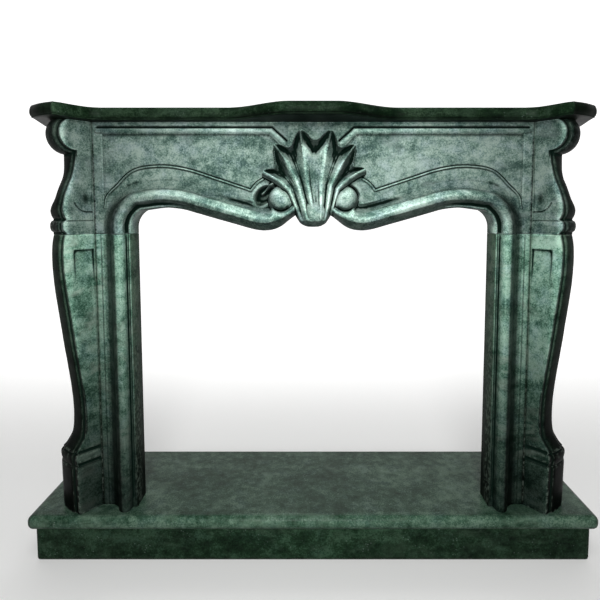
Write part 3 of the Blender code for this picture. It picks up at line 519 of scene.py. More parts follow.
@dataclass(frozen=True)
class Marble:
    """One stone of the object: clouded serpentine marble with veins and specks, hollows darkened partly by
    soiling and partly by painted shade, painted shade on faces turned from the light and on soffits and
    fronts, and painted highlights on raised parts.

    Args:
        name: Name of the finish.
        dark: Colour of the deepest clouds.
        middle: Colour of most of the stone.
        light: Colour of the palest clouds.
        vein: Colour of the veins.
        vein_share: How much of the veins shows.
        lean: Way that the veins run, as turns about x, y and z in radians.
        cloud_low: Level of cloud noise at which the stone leaves its darkest.
        cloud_high: Level of cloud noise at which it is palest.
        grime_and_shade: How strongly the hollows darken, partly as soiling and partly as painted shade.
        gloss: Strength of reflections.
        crest: How much brighter the raised parts that face the light are, a painted highlight.
        side_tone: Brightness at the outer sides.
        turned: How strongly faces that turn down or outwards, away from the light, darken, as painted shade.
        wear: How strongly arrises pale.
        roughness: Mean roughness.
        speck_share: How much of the pale specks shows.
        low_tone: Brightness at the foot of the surround.
        low_place: Height over the floor where that brightness is reached.
        high_place: Height from which the stone has its full brightness.
    """

    name: str
    dark: tuple
    middle: tuple
    light: tuple
    vein: tuple
    vein_share: float = 0.5
    lean: tuple = (0.0, 0.6, 0.0)
    cloud_low: float = 0.34
    cloud_high: float = 0.68
    grime_and_shade: float = 1.0
    gloss: float = 0.02
    crest: float = 0.65
    side_tone: float = 1.0
    turned: float = 0.92
    wear: float = 0.25
    roughness: float = 0.42
    speck_share: float = 0.5
    low_tone: float = 1.0
    low_place: float = 0.15
    high_place: float = 0.95

    def material(self) -> bpy.types.Material:
        """The finish as a material, made once and then shared."""
        known = bpy.data.materials.get(self.name)
        return known if known else self._build()

    def _build(self) -> bpy.types.Material:
        """Add the material and its nodes."""
        stone = bpy.data.materials.new(self.name)
        stone.use_nodes = True
        tree = stone.node_tree
        shader = Shader(tree)
        principled = tree.nodes["Principled BSDF"]
        place = shader.place()
        fine = shader.attribute("fine_hollow")
        wide = shader.attribute("wide_hollow")
        grit = shader.noise(place, 90.0, 3.0)
        # Soiling and painted shade darken the hollows, with a little noise.
        dirt_and_shade = fine.ramp(0.05, 0.50) * 0.6 + wide.ramp(0.5, 4.5) * 0.85 + (grit - 0.5) * 0.35
        dirt_and_shade = (dirt_and_shade * self.grime_and_shade).clamp()
        # Painted shade: faces turned away from the light, down or outwards, darken.
        turned = (1.0 - (shader.attribute("light_facing") + (grit - 0.5) * 0.3).ramp(0.0, 0.52)) * self.turned
        height = shader.along(place, "Z")
        tone = height.ramp(self.low_place, self.high_place) * (1.0 - self.low_tone) + self.low_tone
        colour = shader.scale(self._colour(shader, place), tone)
        # Painted highlight: raised parts that face the light are brightened.
        raised = wide.ramp(-0.2, -2.8) * shader.attribute("light_facing").ramp(0.45, 0.85)
        outward = abs(shader.along(place, "X")).ramp(0.08, 0.62) * (self.side_tone - 1.0) + 1.0
        colour = shader.scale(colour, (raised * self.crest + 1.0) * outward)
        colour = shader.mix(turned, colour, shader.scale(colour, SHADE))
        # Painted shade on soffits, reveals and console fronts, and darker joints, from the veil.
        veil = (shader.attribute("veil") * (grit * 0.5 + 0.8)).clamp()
        colour = shader.mix(veil, colour, shader.tint(colour, VEIL_TINT))
        colour = shader.mix(dirt_and_shade, colour, GRIME_AND_SHADE_COLOUR)
        edge = (fine.ramp(-0.10, -0.50) * 0.8 + wide.ramp(-1.5, -6.0) * 0.4) * grit.ramp(0.45, 0.65)
        worn = shader.mix(0.5, colour, self.vein)
        colour = shader.mix(edge.clamp() * self.wear, colour, worn)
        tree.links.new(colour.socket, principled.inputs["Base Color"])
        smear = shader.noise(place, 14.0, 5.0, 0.6)
        rough = (dirt_and_shade * 0.28 + (smear - 0.5) * 0.22 + self.roughness).clamp()
        tree.links.new(rough.socket, principled.inputs["Roughness"])
        relief = shader.noise(place, 210.0, 4.0, 0.6) * 0.4 + shader.noise(place, 32.0, 3.0) * 0.6
        bump = shader.node("ShaderNodeBump", {}, {"Strength": 0.35, "Distance": 0.0012, "Height": relief})
        tree.links.new(bump.socket, principled.inputs["Normal"])
        principled.inputs["Specular IOR Level"].default_value = self.gloss
        return stone

    def _colour(self, shader: Shader, place: Sock) -> Sock:
        """Clouds, veins, patches and specks of the clean stone."""
        leant = shader.node("ShaderNodeMapping", {}, {"Vector": place, "Rotation": self.lean,
                                                      "Scale": (1.0, 1.0, 2.6)})
        cloud = shader.noise(leant, 5.5, 7.0, 0.62, 0.5)
        mottle = shader.noise(place, 38.0, 5.0, 0.7)
        grain = shader.noise(place, 240.0, 3.0, 0.7)
        level = (cloud * 0.34 + mottle * 0.34 + grain * 0.32).ramp(self.cloud_low, self.cloud_high)
        colour = shader.node("ShaderNodeValToRGB", {}, {"Fac": level})
        ramp = colour.socket.node.color_ramp
        ramp.elements[0].color = (*self.dark, 1.0)
        ramp.elements[1].color = (*self.light, 1.0)
        ramp.elements.new(0.48).color = (*self.middle, 1.0)
        bluish = shader.noise(place, 21.0, 3.0).ramp(0.45, 0.70) * 0.45
        colour = shader.mix(bluish, colour, shader.tint(colour, COOL_TINT))
        run = shader.noise(leant, 3.2, 6.0, 0.58, 1.2)
        line = (1.0 - abs(run - 0.5) * 14.0).clamp()
        broken = shader.noise(place, 11.0, 4.0).ramp(0.42, 0.66)
        colour = shader.mix(line * broken * self.vein_share, colour, self.vein)
        speck = shader.node("ShaderNodeTexVoronoi", {"feature": "F1"}, {"Vector": place, "Scale": 130.0},
                            "Distance")
        sparse = shader.noise(place, 30.0, 2.0).ramp(0.55, 0.66)
        dots = (1.0 - speck.ramp(0.10, 0.30)) * sparse * self.speck_share
        return shader.mix(dots, colour, SPECK_COLOUR)


CARVED = Marble("carved_grey_green", (0.045, 0.095, 0.078), (0.182, 0.284, 0.238), (0.385, 0.505, 0.440),
                (0.40, 0.50, 0.47), vein_share=0.45, cloud_low=0.40, cloud_high=0.61, crest=1.6,
                side_tone=0.52)
UPRIGHT = Marble("veined_dark_green", (0.030, 0.085, 0.055), (0.150, 0.285, 0.212), (0.330, 0.500, 0.400),
                 (0.40, 0.52, 0.43), vein_share=0.75, lean=(0.0, 0.75, 0.0), cloud_low=0.40, cloud_high=0.61,
                 crest=0.5, low_tone=0.070, low_place=0.18, high_place=1.08)
SHELF = Marble("near_black_green", (0.001, 0.005, 0.002), (0.005, 0.015, 0.006), (0.026, 0.050, 0.028),
               (0.04, 0.07, 0.045), vein_share=0.3, grime_and_shade=0.6, wear=0.4, gloss=0.04, roughness=0.45,
               speck_share=0.12, cloud_low=0.38, cloud_high=0.64)
HEARTH = Marble("mottled_hearth_green", (0.006, 0.020, 0.010), (0.028, 0.062, 0.040), (0.095, 0.150, 0.108),
                (0.12, 0.18, 0.13), vein_share=0.3, grime_and_shade=0.4, turned=0.6, wear=0.3, gloss=0.07,
                roughness=0.34, speck_share=0.2, cloud_low=0.38, cloud_high=0.64)
RISER = Marble("deep_riser_green", (0.001, 0.005, 0.002), (0.005, 0.016, 0.007), (0.020, 0.045, 0.026),
               (0.04, 0.07, 0.045), vein_share=0.3, grime_and_shade=0.4, turned=0.4, wear=0.3, gloss=0.05,
               roughness=0.45, speck_share=0.12, cloud_low=0.38, cloud_high=0.64)


# Frieze

@dataclass(frozen=True)
class Arch:
    """Lower edge of the frieze and the roll moulding that follows it.

    Args:
        size: Driving sizes of the surround.
        shoulder_rise: Height of the shoulder's centre over the jamb.
        shoulder_radius: Radius of the shoulder.
        crown_in: Distance of the crown from the opening's side.
        crown_rise: Height of the crown over the jamb.
        slope_x: Place of the middle of the long slope.
        slope_rise: Its height over the jamb.
        dip_x: Place of the lowest bend beside the shell.
        dip_rise: Its height over the jamb.
        cusp_x: Place of the cusp under the shell.
        cusp_rise: Its height over the jamb.
        lobe_half: Half width of the shell's rounded foot.
        lobe_rise: Height of the foot over the jamb.
    """

    size: Sizes
    shoulder_rise: float = 0.017
    shoulder_radius: float = 0.056
    crown_in: float = 0.088
    crown_rise: float = 0.0735
    slope_x: float = 0.270
    slope_rise: float = 0.043
    dip_x: float = 0.130
    dip_rise: float = 0.010
    cusp_x: float = 0.0495
    cusp_rise: float = 0.0525
    lobe_half: float = 0.028
    lobe_rise: float = 0.020

    def edge(self, spacing: float) -> np.ndarray:
        """Edge on the +x side, from the jamb's top to the cusp.

        Args:
            spacing: Rough length between its points.

        Returns:
            Its points as (x, height), one a row.
        """
        half, jamb = self.size.opening_half, self.size.jamb
        crown_x, crown = half - self.crown_in, jamb + self.crown_rise
        slope, dip, cusp = jamb + self.slope_rise, jamb + self.dip_rise, jamb + self.cusp_rise
        shoulder = jamb + self.shoulder_rise
        corner = arc((half - self.shoulder_radius, shoulder), self.shoulder_radius, 0.0, 62.0,
                     round(self.shoulder_radius * 1.1 / spacing))
        run = [corner[-1], (crown_x, crown), (crown_x - 0.055, crown - 0.004),
               (self.slope_x + 0.050, slope + 0.0145), (self.slope_x, slope),
               (self.slope_x - 0.055, slope - 0.0155), (self.dip_x + 0.035, dip + 0.0035),
               (self.dip_x, dip), (self.dip_x - 0.033, dip + 0.0075),
               ((self.dip_x + self.cusp_x) / 2 - 0.022, cusp - 0.0135), (self.cusp_x, cusp)]
        rise = np.linspace(jamb + JOINT, shoulder, max(2, round(self.shoulder_rise / spacing)))
        upright = np.stack([np.full(len(rise), half), rise], axis=1)
        return np.vstack([upright[:-1], corner[:-1], spline(run, spacing)])

    def lobe(self, spacing: float) -> np.ndarray:
        """Rounded foot of the shell on the +x side, from the cusp to the middle."""
        cusp, low = self.size.jamb + self.cusp_rise, self.size.jamb + self.lobe_rise
        return spline([(self.cusp_x, cusp), (self.cusp_x - 0.008, cusp - 0.013),
                       (self.lobe_half + 0.006, low + 0.0095), (self.lobe_half - 0.010, low + 0.0015),
                       (0.0, low)], spacing)


@dataclass(frozen=True)
class Shell:
    """Scallop shell in the middle of the frieze: six ridges that fan out from a hub.

    Args:
        size: Driving sizes of the surround.
        centre: Place of the hub along x.
        tip_drop: Distance from the soffit to the highest tip.
        foot: Reach of the ridges' feet.
        waist: Reach of the narrow part.
        foot_out: Sideways places of the ridges at the foot.
        waist_turn: Angles of the ridges at the waist, in degrees from the vertical.
        tip_turn: Angles at the tips.
        reach: Reach of each tip from the hub.
        dip: Depth of the scallops between tips.
        hub_proud: How far the feet stand proud.
        waist_proud: How far the waist stands proud.
        tip_proud: How far the tips stand proud.
        creases: Fine cuts in the middle flute: depth, place, width, and the shares where each fades.
    """

    size: Sizes
    centre: float = 0.005
    tip_drop: float = 0.0269
    foot: float = 0.026
    waist: float = 0.130
    foot_out: tuple = (-0.033, -0.016, 0.002, 0.016, 0.027, 0.036)
    waist_turn: tuple = (-31.5, -19.5, -9.5, 8.0, 19.5, 28.0)
    tip_turn: tuple = (-40.5, -25.0, -8.2, 9.2, 25.0, 38.5)
    reach: tuple = (0.212, 0.257, 0.274, 0.2745, 0.2555, 0.2145)
    dip: float = 0.027
    hub_proud: float = 0.050
    waist_proud: float = 0.044
    tip_proud: float = 0.060
    creases: tuple = ((0.0034, 0.24, 0.045, 0.70, 0.45), (0.0026, 0.50, 0.06, 0.40, 0.20),
                      (0.0026, 0.76, 0.06, 0.55, 0.30))

    @property
    def hub(self) -> np.ndarray:
        """Point that the ridges fan out from."""
        return np.array([self.centre, self.size.soffit - self.tip_drop - max(self.reach)])

    def ridge_turn(self, ridge: int, reach: np.ndarray) -> np.ndarray:
        """Angle of one ridge in radians at a distance from the hub."""
        lower = np.clip((reach - self.foot) / (self.waist - self.foot), 0.0, 1.0)
        upper = np.clip((reach - self.waist) / (self.reach[ridge] - self.waist), 0.0, 1.1) ** 1.3
        foot, waist, tip = self.foot_out[ridge], self.waist_turn[ridge], self.tip_turn[ridge]
        out = foot + (self.waist * math.sin(math.radians(waist)) - foot) * lower
        limit = 0.55 + 0.16 * abs(ridge - 2.5)
        near = np.arcsin(np.clip(out / np.maximum(reach, 0.001), -limit, limit))
        return np.where(reach < self.waist, near, math.radians(waist)) + np.radians((tip - waist) * upper)

    def rim(self, station: np.ndarray) -> np.ndarray:
        """Distance from the hub to the scalloped rim, with blunt tips."""
        low = np.clip(station.astype(int), 0, len(self.reach) - 2)
        part = station - low
        tips = np.array(self.reach)
        straight = tips[low] + (tips[low + 1] - tips[low]) * part
        return straight - self.dip * smoothstep(0.04, 0.46, part) * smoothstep(0.96, 0.54, part)

    def place(self, station: np.ndarray, share: np.ndarray) -> np.ndarray:
        """Points of the shell: station counts ridges, share runs from foot to rim."""
        reach = self.foot + (self.rim(station) - self.foot) * share
        low = np.clip(station.astype(int), 0, len(self.reach) - 2)
        part = station - low
        turns = np.stack([self.ridge_turn(ridge, reach) for ridge in range(len(self.reach))])
        index = np.arange(len(reach))
        turn = turns[low, index] * (1 - part) + turns[low + 1, index] * part
        return self.hub + np.stack([reach * np.sin(turn), reach * np.cos(turn)], axis=1)

    def locate(self, spots: np.ndarray) -> tuple:
        """Where places lie on the shell.

        Args:
            spots: Places on the front, one a row.

        Returns:
            Stations, shares from foot to rim, distances beyond the outer ridges and beyond the rim.
        """
        away = spots - self.hub
        reach = np.linalg.norm(away, axis=1)
        turn = np.arctan2(away[:, 0], away[:, 1])
        turns = [self.ridge_turn(ridge, reach) for ridge in range(len(self.reach))]
        station = np.zeros(len(spots))
        for low, (start, end) in enumerate(zip(turns, turns[1:])):
            between = low + np.clip((turn - start) / (end - start), 0.0, 1.0)
            station = np.where(turn >= start, between, station)
        beside = reach * np.maximum(0.0, np.maximum(turns[0] - turn, turn - turns[-1]))
        rounding = 0.016 * (1.0 - np.sqrt(np.maximum(0.0, 1.0 - np.minimum(beside / 0.016, 1.0) ** 2)))
        rim = self.rim(station) - rounding
        share = (reach - self.foot) / (rim - self.foot)
        return station, share, beside, reach - rim

    def proud(self, station: np.ndarray, share: np.ndarray) -> np.ndarray:
        """How far the shell stands proud: rounded ridges, and flutes with deep heads under the rim."""
        low = np.clip(station.astype(int), 0, len(self.reach) - 2)
        part = station - low
        part = np.where(low > 2, 1.0 - part, part)
        ridge = rounded(((0.0, self.hub_proud), (0.45, self.waist_proud), (0.8, self.waist_proud + 0.007),
                         (1.0, self.tip_proud)), share)
        depth = rounded(((0.0, 0.0), (0.05, 0.004), (0.12, 0.008), (0.30, 0.007), (0.55, 0.010),
                         (0.74, 0.019), (0.86, 0.034), (0.92, 0.038), (0.965, 0.030), (1.0, 0.008)), share)
        outer = (low == 0) | (low == len(self.reach) - 2)
        crest = rounded(((0.0, 1.6), (0.3, 2.0), (0.6, 1.4), (0.85, 0.60), (1.0, 0.45)), share)
        crest = np.where(outer, crest * 1.3, crest)
        middle = np.where(outer, part ** 0.85, part)
        hollow = np.sin(math.pi * np.clip(middle, 0.0, 1.0)) ** crest
        centre = low == 2
        shallow = rounded(((0.0, 1.0), (0.15, 0.6), (0.6, 0.45), (0.80, 0.50), (0.90, 1.0), (1.0, 1.0)),
                          share)
        depth = np.where(centre, depth * shallow, depth)
        crease = np.zeros(len(share))
        for deep, place, width, top, bottom in self.creases:
            line = deep * np.exp(-((part - place) / width) ** 2)
            crease = crease + line * smoothstep(top, bottom, share) * centre
        lip = 0.0016 * np.exp(-((1.0 - share) / 0.03) ** 2)
        grain = 0.00025 * np.sin(part * 2 * math.pi * 7) * smoothstep(0.1, 0.4, share)
        return ridge - depth * hollow - crease * smoothstep(0.0, 0.08, share) + lip + grain


@dataclass
class Frieze:
    """Carved block over the opening, in one piece of stone.

    Args:
        size: Driving sizes of the surround.
        arch: Its lower edge.
        shell: Its shell.
        panel_margin: Distance of the panel from the block's end.
        panel_drop: Distance of the panel's top from the soffit.
        panel_sunk: How deep the panel is sunk.
        panel_inner_x: Place where the panel's top turns down to the shell.
        clip_x: Place where that slanting side ends.
        clip_drop: Distance of that end from the soffit.
        groove_drop: Distance of the upper groove from the soffit.
        groove_margin: Distance of the groove from the block's end.
        groove_inner_x: Place where the groove turns down.
        groove_clip_x: Place where it ends.
        groove_clip_drop: Distance of its end from the soffit.
        ball_x: Place of the scroll's ball.
        ball_rise: Height of the ball over the jamb.
        ball_radius: Radius of the ball.
        ball_proud: How far the ball stands proud.
        pocket_x: Place of the hollow beside the left scroll.
        pocket_rise: Height of the hollow over the jamb.
        cove_outer: Distance from the edge at which the moulding ends.
        roll_outer: Distance from the edge at which its roll ends.
        section: Moulding as pairs of distance from the edge and level.
        curve: Edge that the moulding follows, worked out.
        fillet: Raised line under the panel, worked out.
    """

    size: Sizes
    arch: Arch
    shell: Shell
    panel_margin: float = 0.030
    panel_drop: float = 0.0355
    panel_sunk: float = 0.004
    panel_inner_x: float = 0.122
    clip_x: float = 0.085
    clip_drop: float = 0.072
    groove_drop: float = 0.0145
    groove_margin: float = 0.015
    groove_inner_x: float = 0.1135
    groove_clip_x: float = 0.073
    groove_clip_drop: float = 0.051
    ball_x: float = 0.0855
    ball_rise: float = 0.094
    ball_radius: float = 0.028
    ball_proud: float = 0.046
    pocket_x: float = 0.137
    pocket_rise: float = 0.106
    cove_outer: float = 0.080
    roll_outer: float = 0.049
    section: tuple = ((0.0, 0.010), (0.0015, 0.012), (0.005, 0.012), (0.0062, 0.0085), (0.0085, 0.007),
                      (0.0125, 0.0095), (0.0145, 0.022), (0.0175, 0.0345), (0.024, 0.0412), (0.032, 0.0425),
                      (0.041, 0.0385), (0.0485, 0.029), (0.0505, 0.0225), (0.055, 0.0155), (0.063, 0.0075),
                      (0.071, 0.0025), (0.080, 0.0))
    curve: np.ndarray = field(init=False)
    fillet: np.ndarray = field(init=False)

    def __post_init__(self) -> None:
        """Work out the curves that the mouldings follow."""
        self.curve = self.arch.edge(0.004)
        half = self.size.frame_half - self.panel_margin
        jamb = self.size.jamb
        crown_x, crown = self.size.opening_half - 0.083, jamb + 0.188
        cusp = jamb + 0.1215
        run = spline([(half, jamb + 0.073), (half - 0.007, jamb + 0.106), (half - 0.033, jamb + 0.133),
                      (crown_x + 0.075, crown - 0.012), (crown_x, crown), (crown_x - 0.073, crown - 0.009),
                      (self.arch.slope_x + 0.008, cusp + 0.0345), (0.174, cusp)], 0.004)
        beyond = spline([(0.174, cusp), (0.158, cusp + 0.019), (0.140, cusp + 0.031)], 0.004)
        self.fillet = np.vstack([run, beyond[1:]])

    def ball(self) -> np.ndarray:
        """Middle of the scroll's ball on the +x side."""
        return np.array([self.ball_x, self.size.jamb + self.ball_rise])

    def fillet_height(self, x: np.ndarray) -> np.ndarray:
        """Height of the fillet over x, and past its cusp the line up to the shell."""
        line = self.fillet[::-1]
        height = np.interp(x, line[:, 0], line[:, 1])
        rise = np.maximum(0.0, line[0, 0] - x) * 0.6
        return np.where(x > self.fillet[0, 0], self.size.jamb + 0.073, height + rise)

    def field_depth(self, spots: np.ndarray) -> np.ndarray:
        """Distance inside the panel's border, negative outside it."""
        x, z = spots[:, 0], spots[:, 1]
        half = self.size.frame_half - self.panel_margin
        top = self.size.soffit - self.panel_drop
        run = np.array([self.clip_x - self.panel_inner_x, self.panel_drop - self.clip_drop])
        run /= np.linalg.norm(run)
        clip = (spots - np.array([self.panel_inner_x, top])) @ np.array([-run[1], run[0]])
        return np.minimum.reduce([half - x, top - z, clip, z - self.fillet_height(x)])

    def ground(self, spots: np.ndarray) -> np.ndarray:
        """Margins, sunk panel, strips and grooves, without the moulding."""
        depth = self.field_depth(spots)
        proud = -self.panel_sunk * smoothstep(0.0, 0.003, depth)
        soffit = self.size.soffit
        line = np.array([(self.size.frame_half - self.groove_margin, soffit - self.groove_drop),
                         (self.groove_inner_x, soffit - self.groove_drop),
                         (self.groove_clip_x, soffit - self.groove_clip_drop)])
        away = distance(line, spots)
        proud -= 0.0070 * np.exp(-(away / 0.0026) ** 2)
        below = np.array([(self.size.frame_half - self.groove_margin, soffit - self.groove_drop - 0.0105),
                          (self.groove_inner_x + 0.004, soffit - self.groove_drop - 0.0105),
                          (self.groove_clip_x + 0.0075, soffit - self.groove_clip_drop - 0.0075)])
        proud += 0.0022 * np.exp(-(distance(below, spots) / 0.0058) ** 4)
        border = np.abs(depth)
        high = smoothstep(0.0, 0.02, spots[:, 1] - self.fillet_height(spots[:, 0]))
        proud -= 0.0030 * np.exp(-(border / 0.0015) ** 2) * high
        groove = distance(self.fillet, spots)
        inner = np.where(depth > 0.0, groove, -groove)
        near = np.exp(-((inner - 0.0042) / 0.0016) ** 2) + 0.8 * np.exp(-((inner + 0.0046) / 0.0018) ** 2)
        near *= smoothstep(self.fillet[0, 0] - 0.006, self.fillet[0, 0] - 0.020, spots[:, 0])
        proud -= 0.0026 * near
        proud += 0.0022 * np.exp(-(inner / 0.0024) ** 4)
        return proud

    def roll(self, spots: np.ndarray) -> tuple:
        """The roll moulding, squeezed where it curls round the ball.

        Args:
            spots: Places on the +x side, one a row.

        Returns:
            How far it stands proud, and the distance from the edge.
        """
        out = distance(self.curve, spots)
        gap = np.maximum(0.0, np.linalg.norm(spots - self.ball(), axis=1) - self.ball_radius)
        near = out + gap < self.roll_outer + 0.006
        out = np.where(near, out * (self.roll_outer + 0.006) / np.maximum(out + gap, 1e-6), out)
        proud = rounded(self.section, out)
        fade = smoothstep(0.30, 0.46, spots[:, 0])
        plain = rounded(((0.0, 0.006), (0.004, 0.0145), (0.010, 0.0255), (0.022, 0.0405)), out)
        proud = np.where(out < 0.022, plain + (proud - plain) * fade, proud)
        deep = (1.0 - smoothstep(0.15, 0.30, spots[:, 0])) * 0.012
        cove = np.maximum(0.0, 1.0 - np.abs(out - self.roll_outer - 0.014) / 0.014)
        return proud - deep * smoothstep(0.0, 1.0, cove), out

    def side(self, spots: np.ndarray, left: np.ndarray) -> np.ndarray:
        """Everything but the shell.

        Args:
            spots: Places with x counted outwards from the middle, one a row.
            left: True for the places on the left side, where the hollow by the scroll is wider.

        Returns:
            How far each place stands proud.
        """
        proud, out = self.roll(spots)
        blend = smoothstep(self.cove_outer - 0.008, self.cove_outer, out)
        proud = proud * (1.0 - blend) + self.ground(spots) * blend
        reach = spots - self.ball()
        away = np.linalg.norm(reach, axis=1)
        turn = np.degrees(np.arctan2(reach[:, 1], reach[:, 0]))
        across = (spots[:, 0] - self.pocket_x) / 0.034
        lean = 0.35 * (spots[:, 0] - self.pocket_x)
        along = (spots[:, 1] - self.size.jamb - self.pocket_rise + lean) / 0.030
        wide = 0.026 * smoothstep(0.0, 0.9, 1.0 - across * across - along * along)
        leaf = distance(np.array([(0.142, self.size.jamb + 0.111), (0.112, self.size.jamb + 0.139)]), spots)
        wide = wide - 0.020 * np.exp(-(leaf / 0.0042) ** 2)
        narrow = 0.020 * np.exp(-((away - self.ball_radius - 0.013) / 0.0050) ** 2)
        narrow = narrow * smoothstep(0.0, 22.0, turn) * smoothstep(76.0, 52.0, turn)
        proud = proud - np.where(left, wide, narrow)
        outer = self.ball_radius + 0.012
        dome = self.ball_proud * np.sqrt(np.maximum(0.0, 1.0 - (away / outer) ** 2.3))
        soft = 0.020
        share = np.clip(0.5 + 0.5 * (dome - proud) / soft, 0.0, 1.0)
        top = np.where(away < outer, proud + (dome - proud) * share + soft * share * (1.0 - share), proud)
        around = smoothstep(58.0, 30.0, np.abs(turn + 85.0))
        ring = away - self.ball_radius - 0.002 - 0.00006 * (turn + 75.0)
        crescent = 0.013 * np.exp(-(ring / 0.0034) ** 2)
        return top - crescent * around

    def level(self, spots: np.ndarray) -> np.ndarray:
        """How far the whole front stands proud, with the carver's slight unevenness.

        Args:
            spots: Places on the front, one a row.

        Returns:
            One level a place.
        """
        folded = np.stack([np.abs(spots[:, 0]), spots[:, 1]], axis=1)
        flank = self.side(folded, spots[:, 0] < 0.0)
        station, share, beside, over = self.shell.locate(spots)
        shell = self.shell.proud(station, np.clip(share, 0.0, 1.0))
        petal = 0.003 + 0.009 * smoothstep(0.25, 0.70, share)
        shell = shell - 0.010 * np.clip(beside / petal, 0.0, 1.2) ** 2.5
        edge = np.maximum(over, beside - petal)
        boss = (spots - np.array([self.shell.centre, self.size.jamb + 0.058])) / np.array([0.050, 0.056])
        boss = 0.050 * np.sqrt(np.maximum(0.0, 1.0 - np.einsum("ij,ij->i", boss, boss)))
        away = spots - self.shell.hub
        fan = smoothstep(0.018, 0.040, np.linalg.norm(away, axis=1)) * smoothstep(0.002, 0.034, away[:, 1])
        close = np.abs(away[:, 0]) < 0.060
        shell = np.where(close, boss + (shell - boss) * fan, shell)
        beyond = np.minimum(flank, 0.0) * smoothstep(0.0, RIM_STEP, edge)
        shell = shell * smoothstep(RIM_STEP, 0.0, edge) + beyond
        lobe = self.arch.lobe(0.004)
        rim = np.vstack([lobe * np.array([-1.0, 1.0]), lobe[::-1]])
        inward = np.clip(distance(rim, spots) / 0.024, 0.0, 1.0)
        turned_under = np.sqrt(np.maximum(0.0, 1.0 - (1.0 - inward) ** 2))
        shell = 0.014 + (shell - 0.014) * turned_under
        rise = spots[:, 1] - self.size.jamb
        covered = smoothstep(0.051, 0.045, folded[:, 0]) * smoothstep(0.110, 0.085, rise)
        flank = flank * (1.0 - covered)
        near = (edge < RIM_STEP) & (rise > self.arch.lobe_rise - 0.001)
        result = np.where(near, np.maximum(flank, shell), flank)
        under = folded[:, 0] < self.arch.cusp_x - 0.001
        result = np.where(under, np.maximum(result, 0.014 + (boss - 0.014) * turned_under), result)
        return result + 0.00035 * uneven(spots, 0.050, 1.3)

    def outline(self) -> np.ndarray:
        """Closed outline of the block, one corner a row."""
        side = self.size.frame_half - JOINT
        foot, top = self.size.jamb + JOINT, self.size.soffit - JOINT
        rises = np.linspace(top, foot, 90)
        out = np.linspace(self.cove_outer, 0.0015, 52)
        half = np.vstack([[(side, z) for z in rises], [(x, foot) for x in np.linspace(side, 0.6, 5)[1:]],
                          [(self.size.opening_half + o, foot) for o in out], self.arch.edge(0.003),
                          self.arch.lobe(0.003)[1:]])
        other = half[::-1][1:] * np.array([-1.0, 1.0])
        across = np.linspace(-side, side, 400)[1:-1]
        return np.vstack([half, other, [(x, top) for x in across]])


class Carver:
    """Collects places on the front of the frieze and joins them into one mesh."""

    def __init__(self) -> None:
        """Start with no places."""
        self.cells: dict = {}
        self.places: list = []

    def add(self, spots: np.ndarray, gap: float) -> None:
        """Keep the places that aren't within a gap of one kept before.

        Args:
            spots: Places to add, one a row.
            gap: Least distance between places, at most the size of a cell.
        """
        steps = (-1, 0, 1)
        for x, z in spots.tolist():
            column, row = int(x // CELL), int(z // CELL)
            around = [spot for i in steps for j in steps
                      for spot in self.cells.get((column + i, row + j), ())]
            if all((px - x) ** 2 + (pz - z) ** 2 >= gap * gap for px, pz in around):
                self.cells.setdefault((column, row), []).append((x, z))
                self.places.append((x, z))


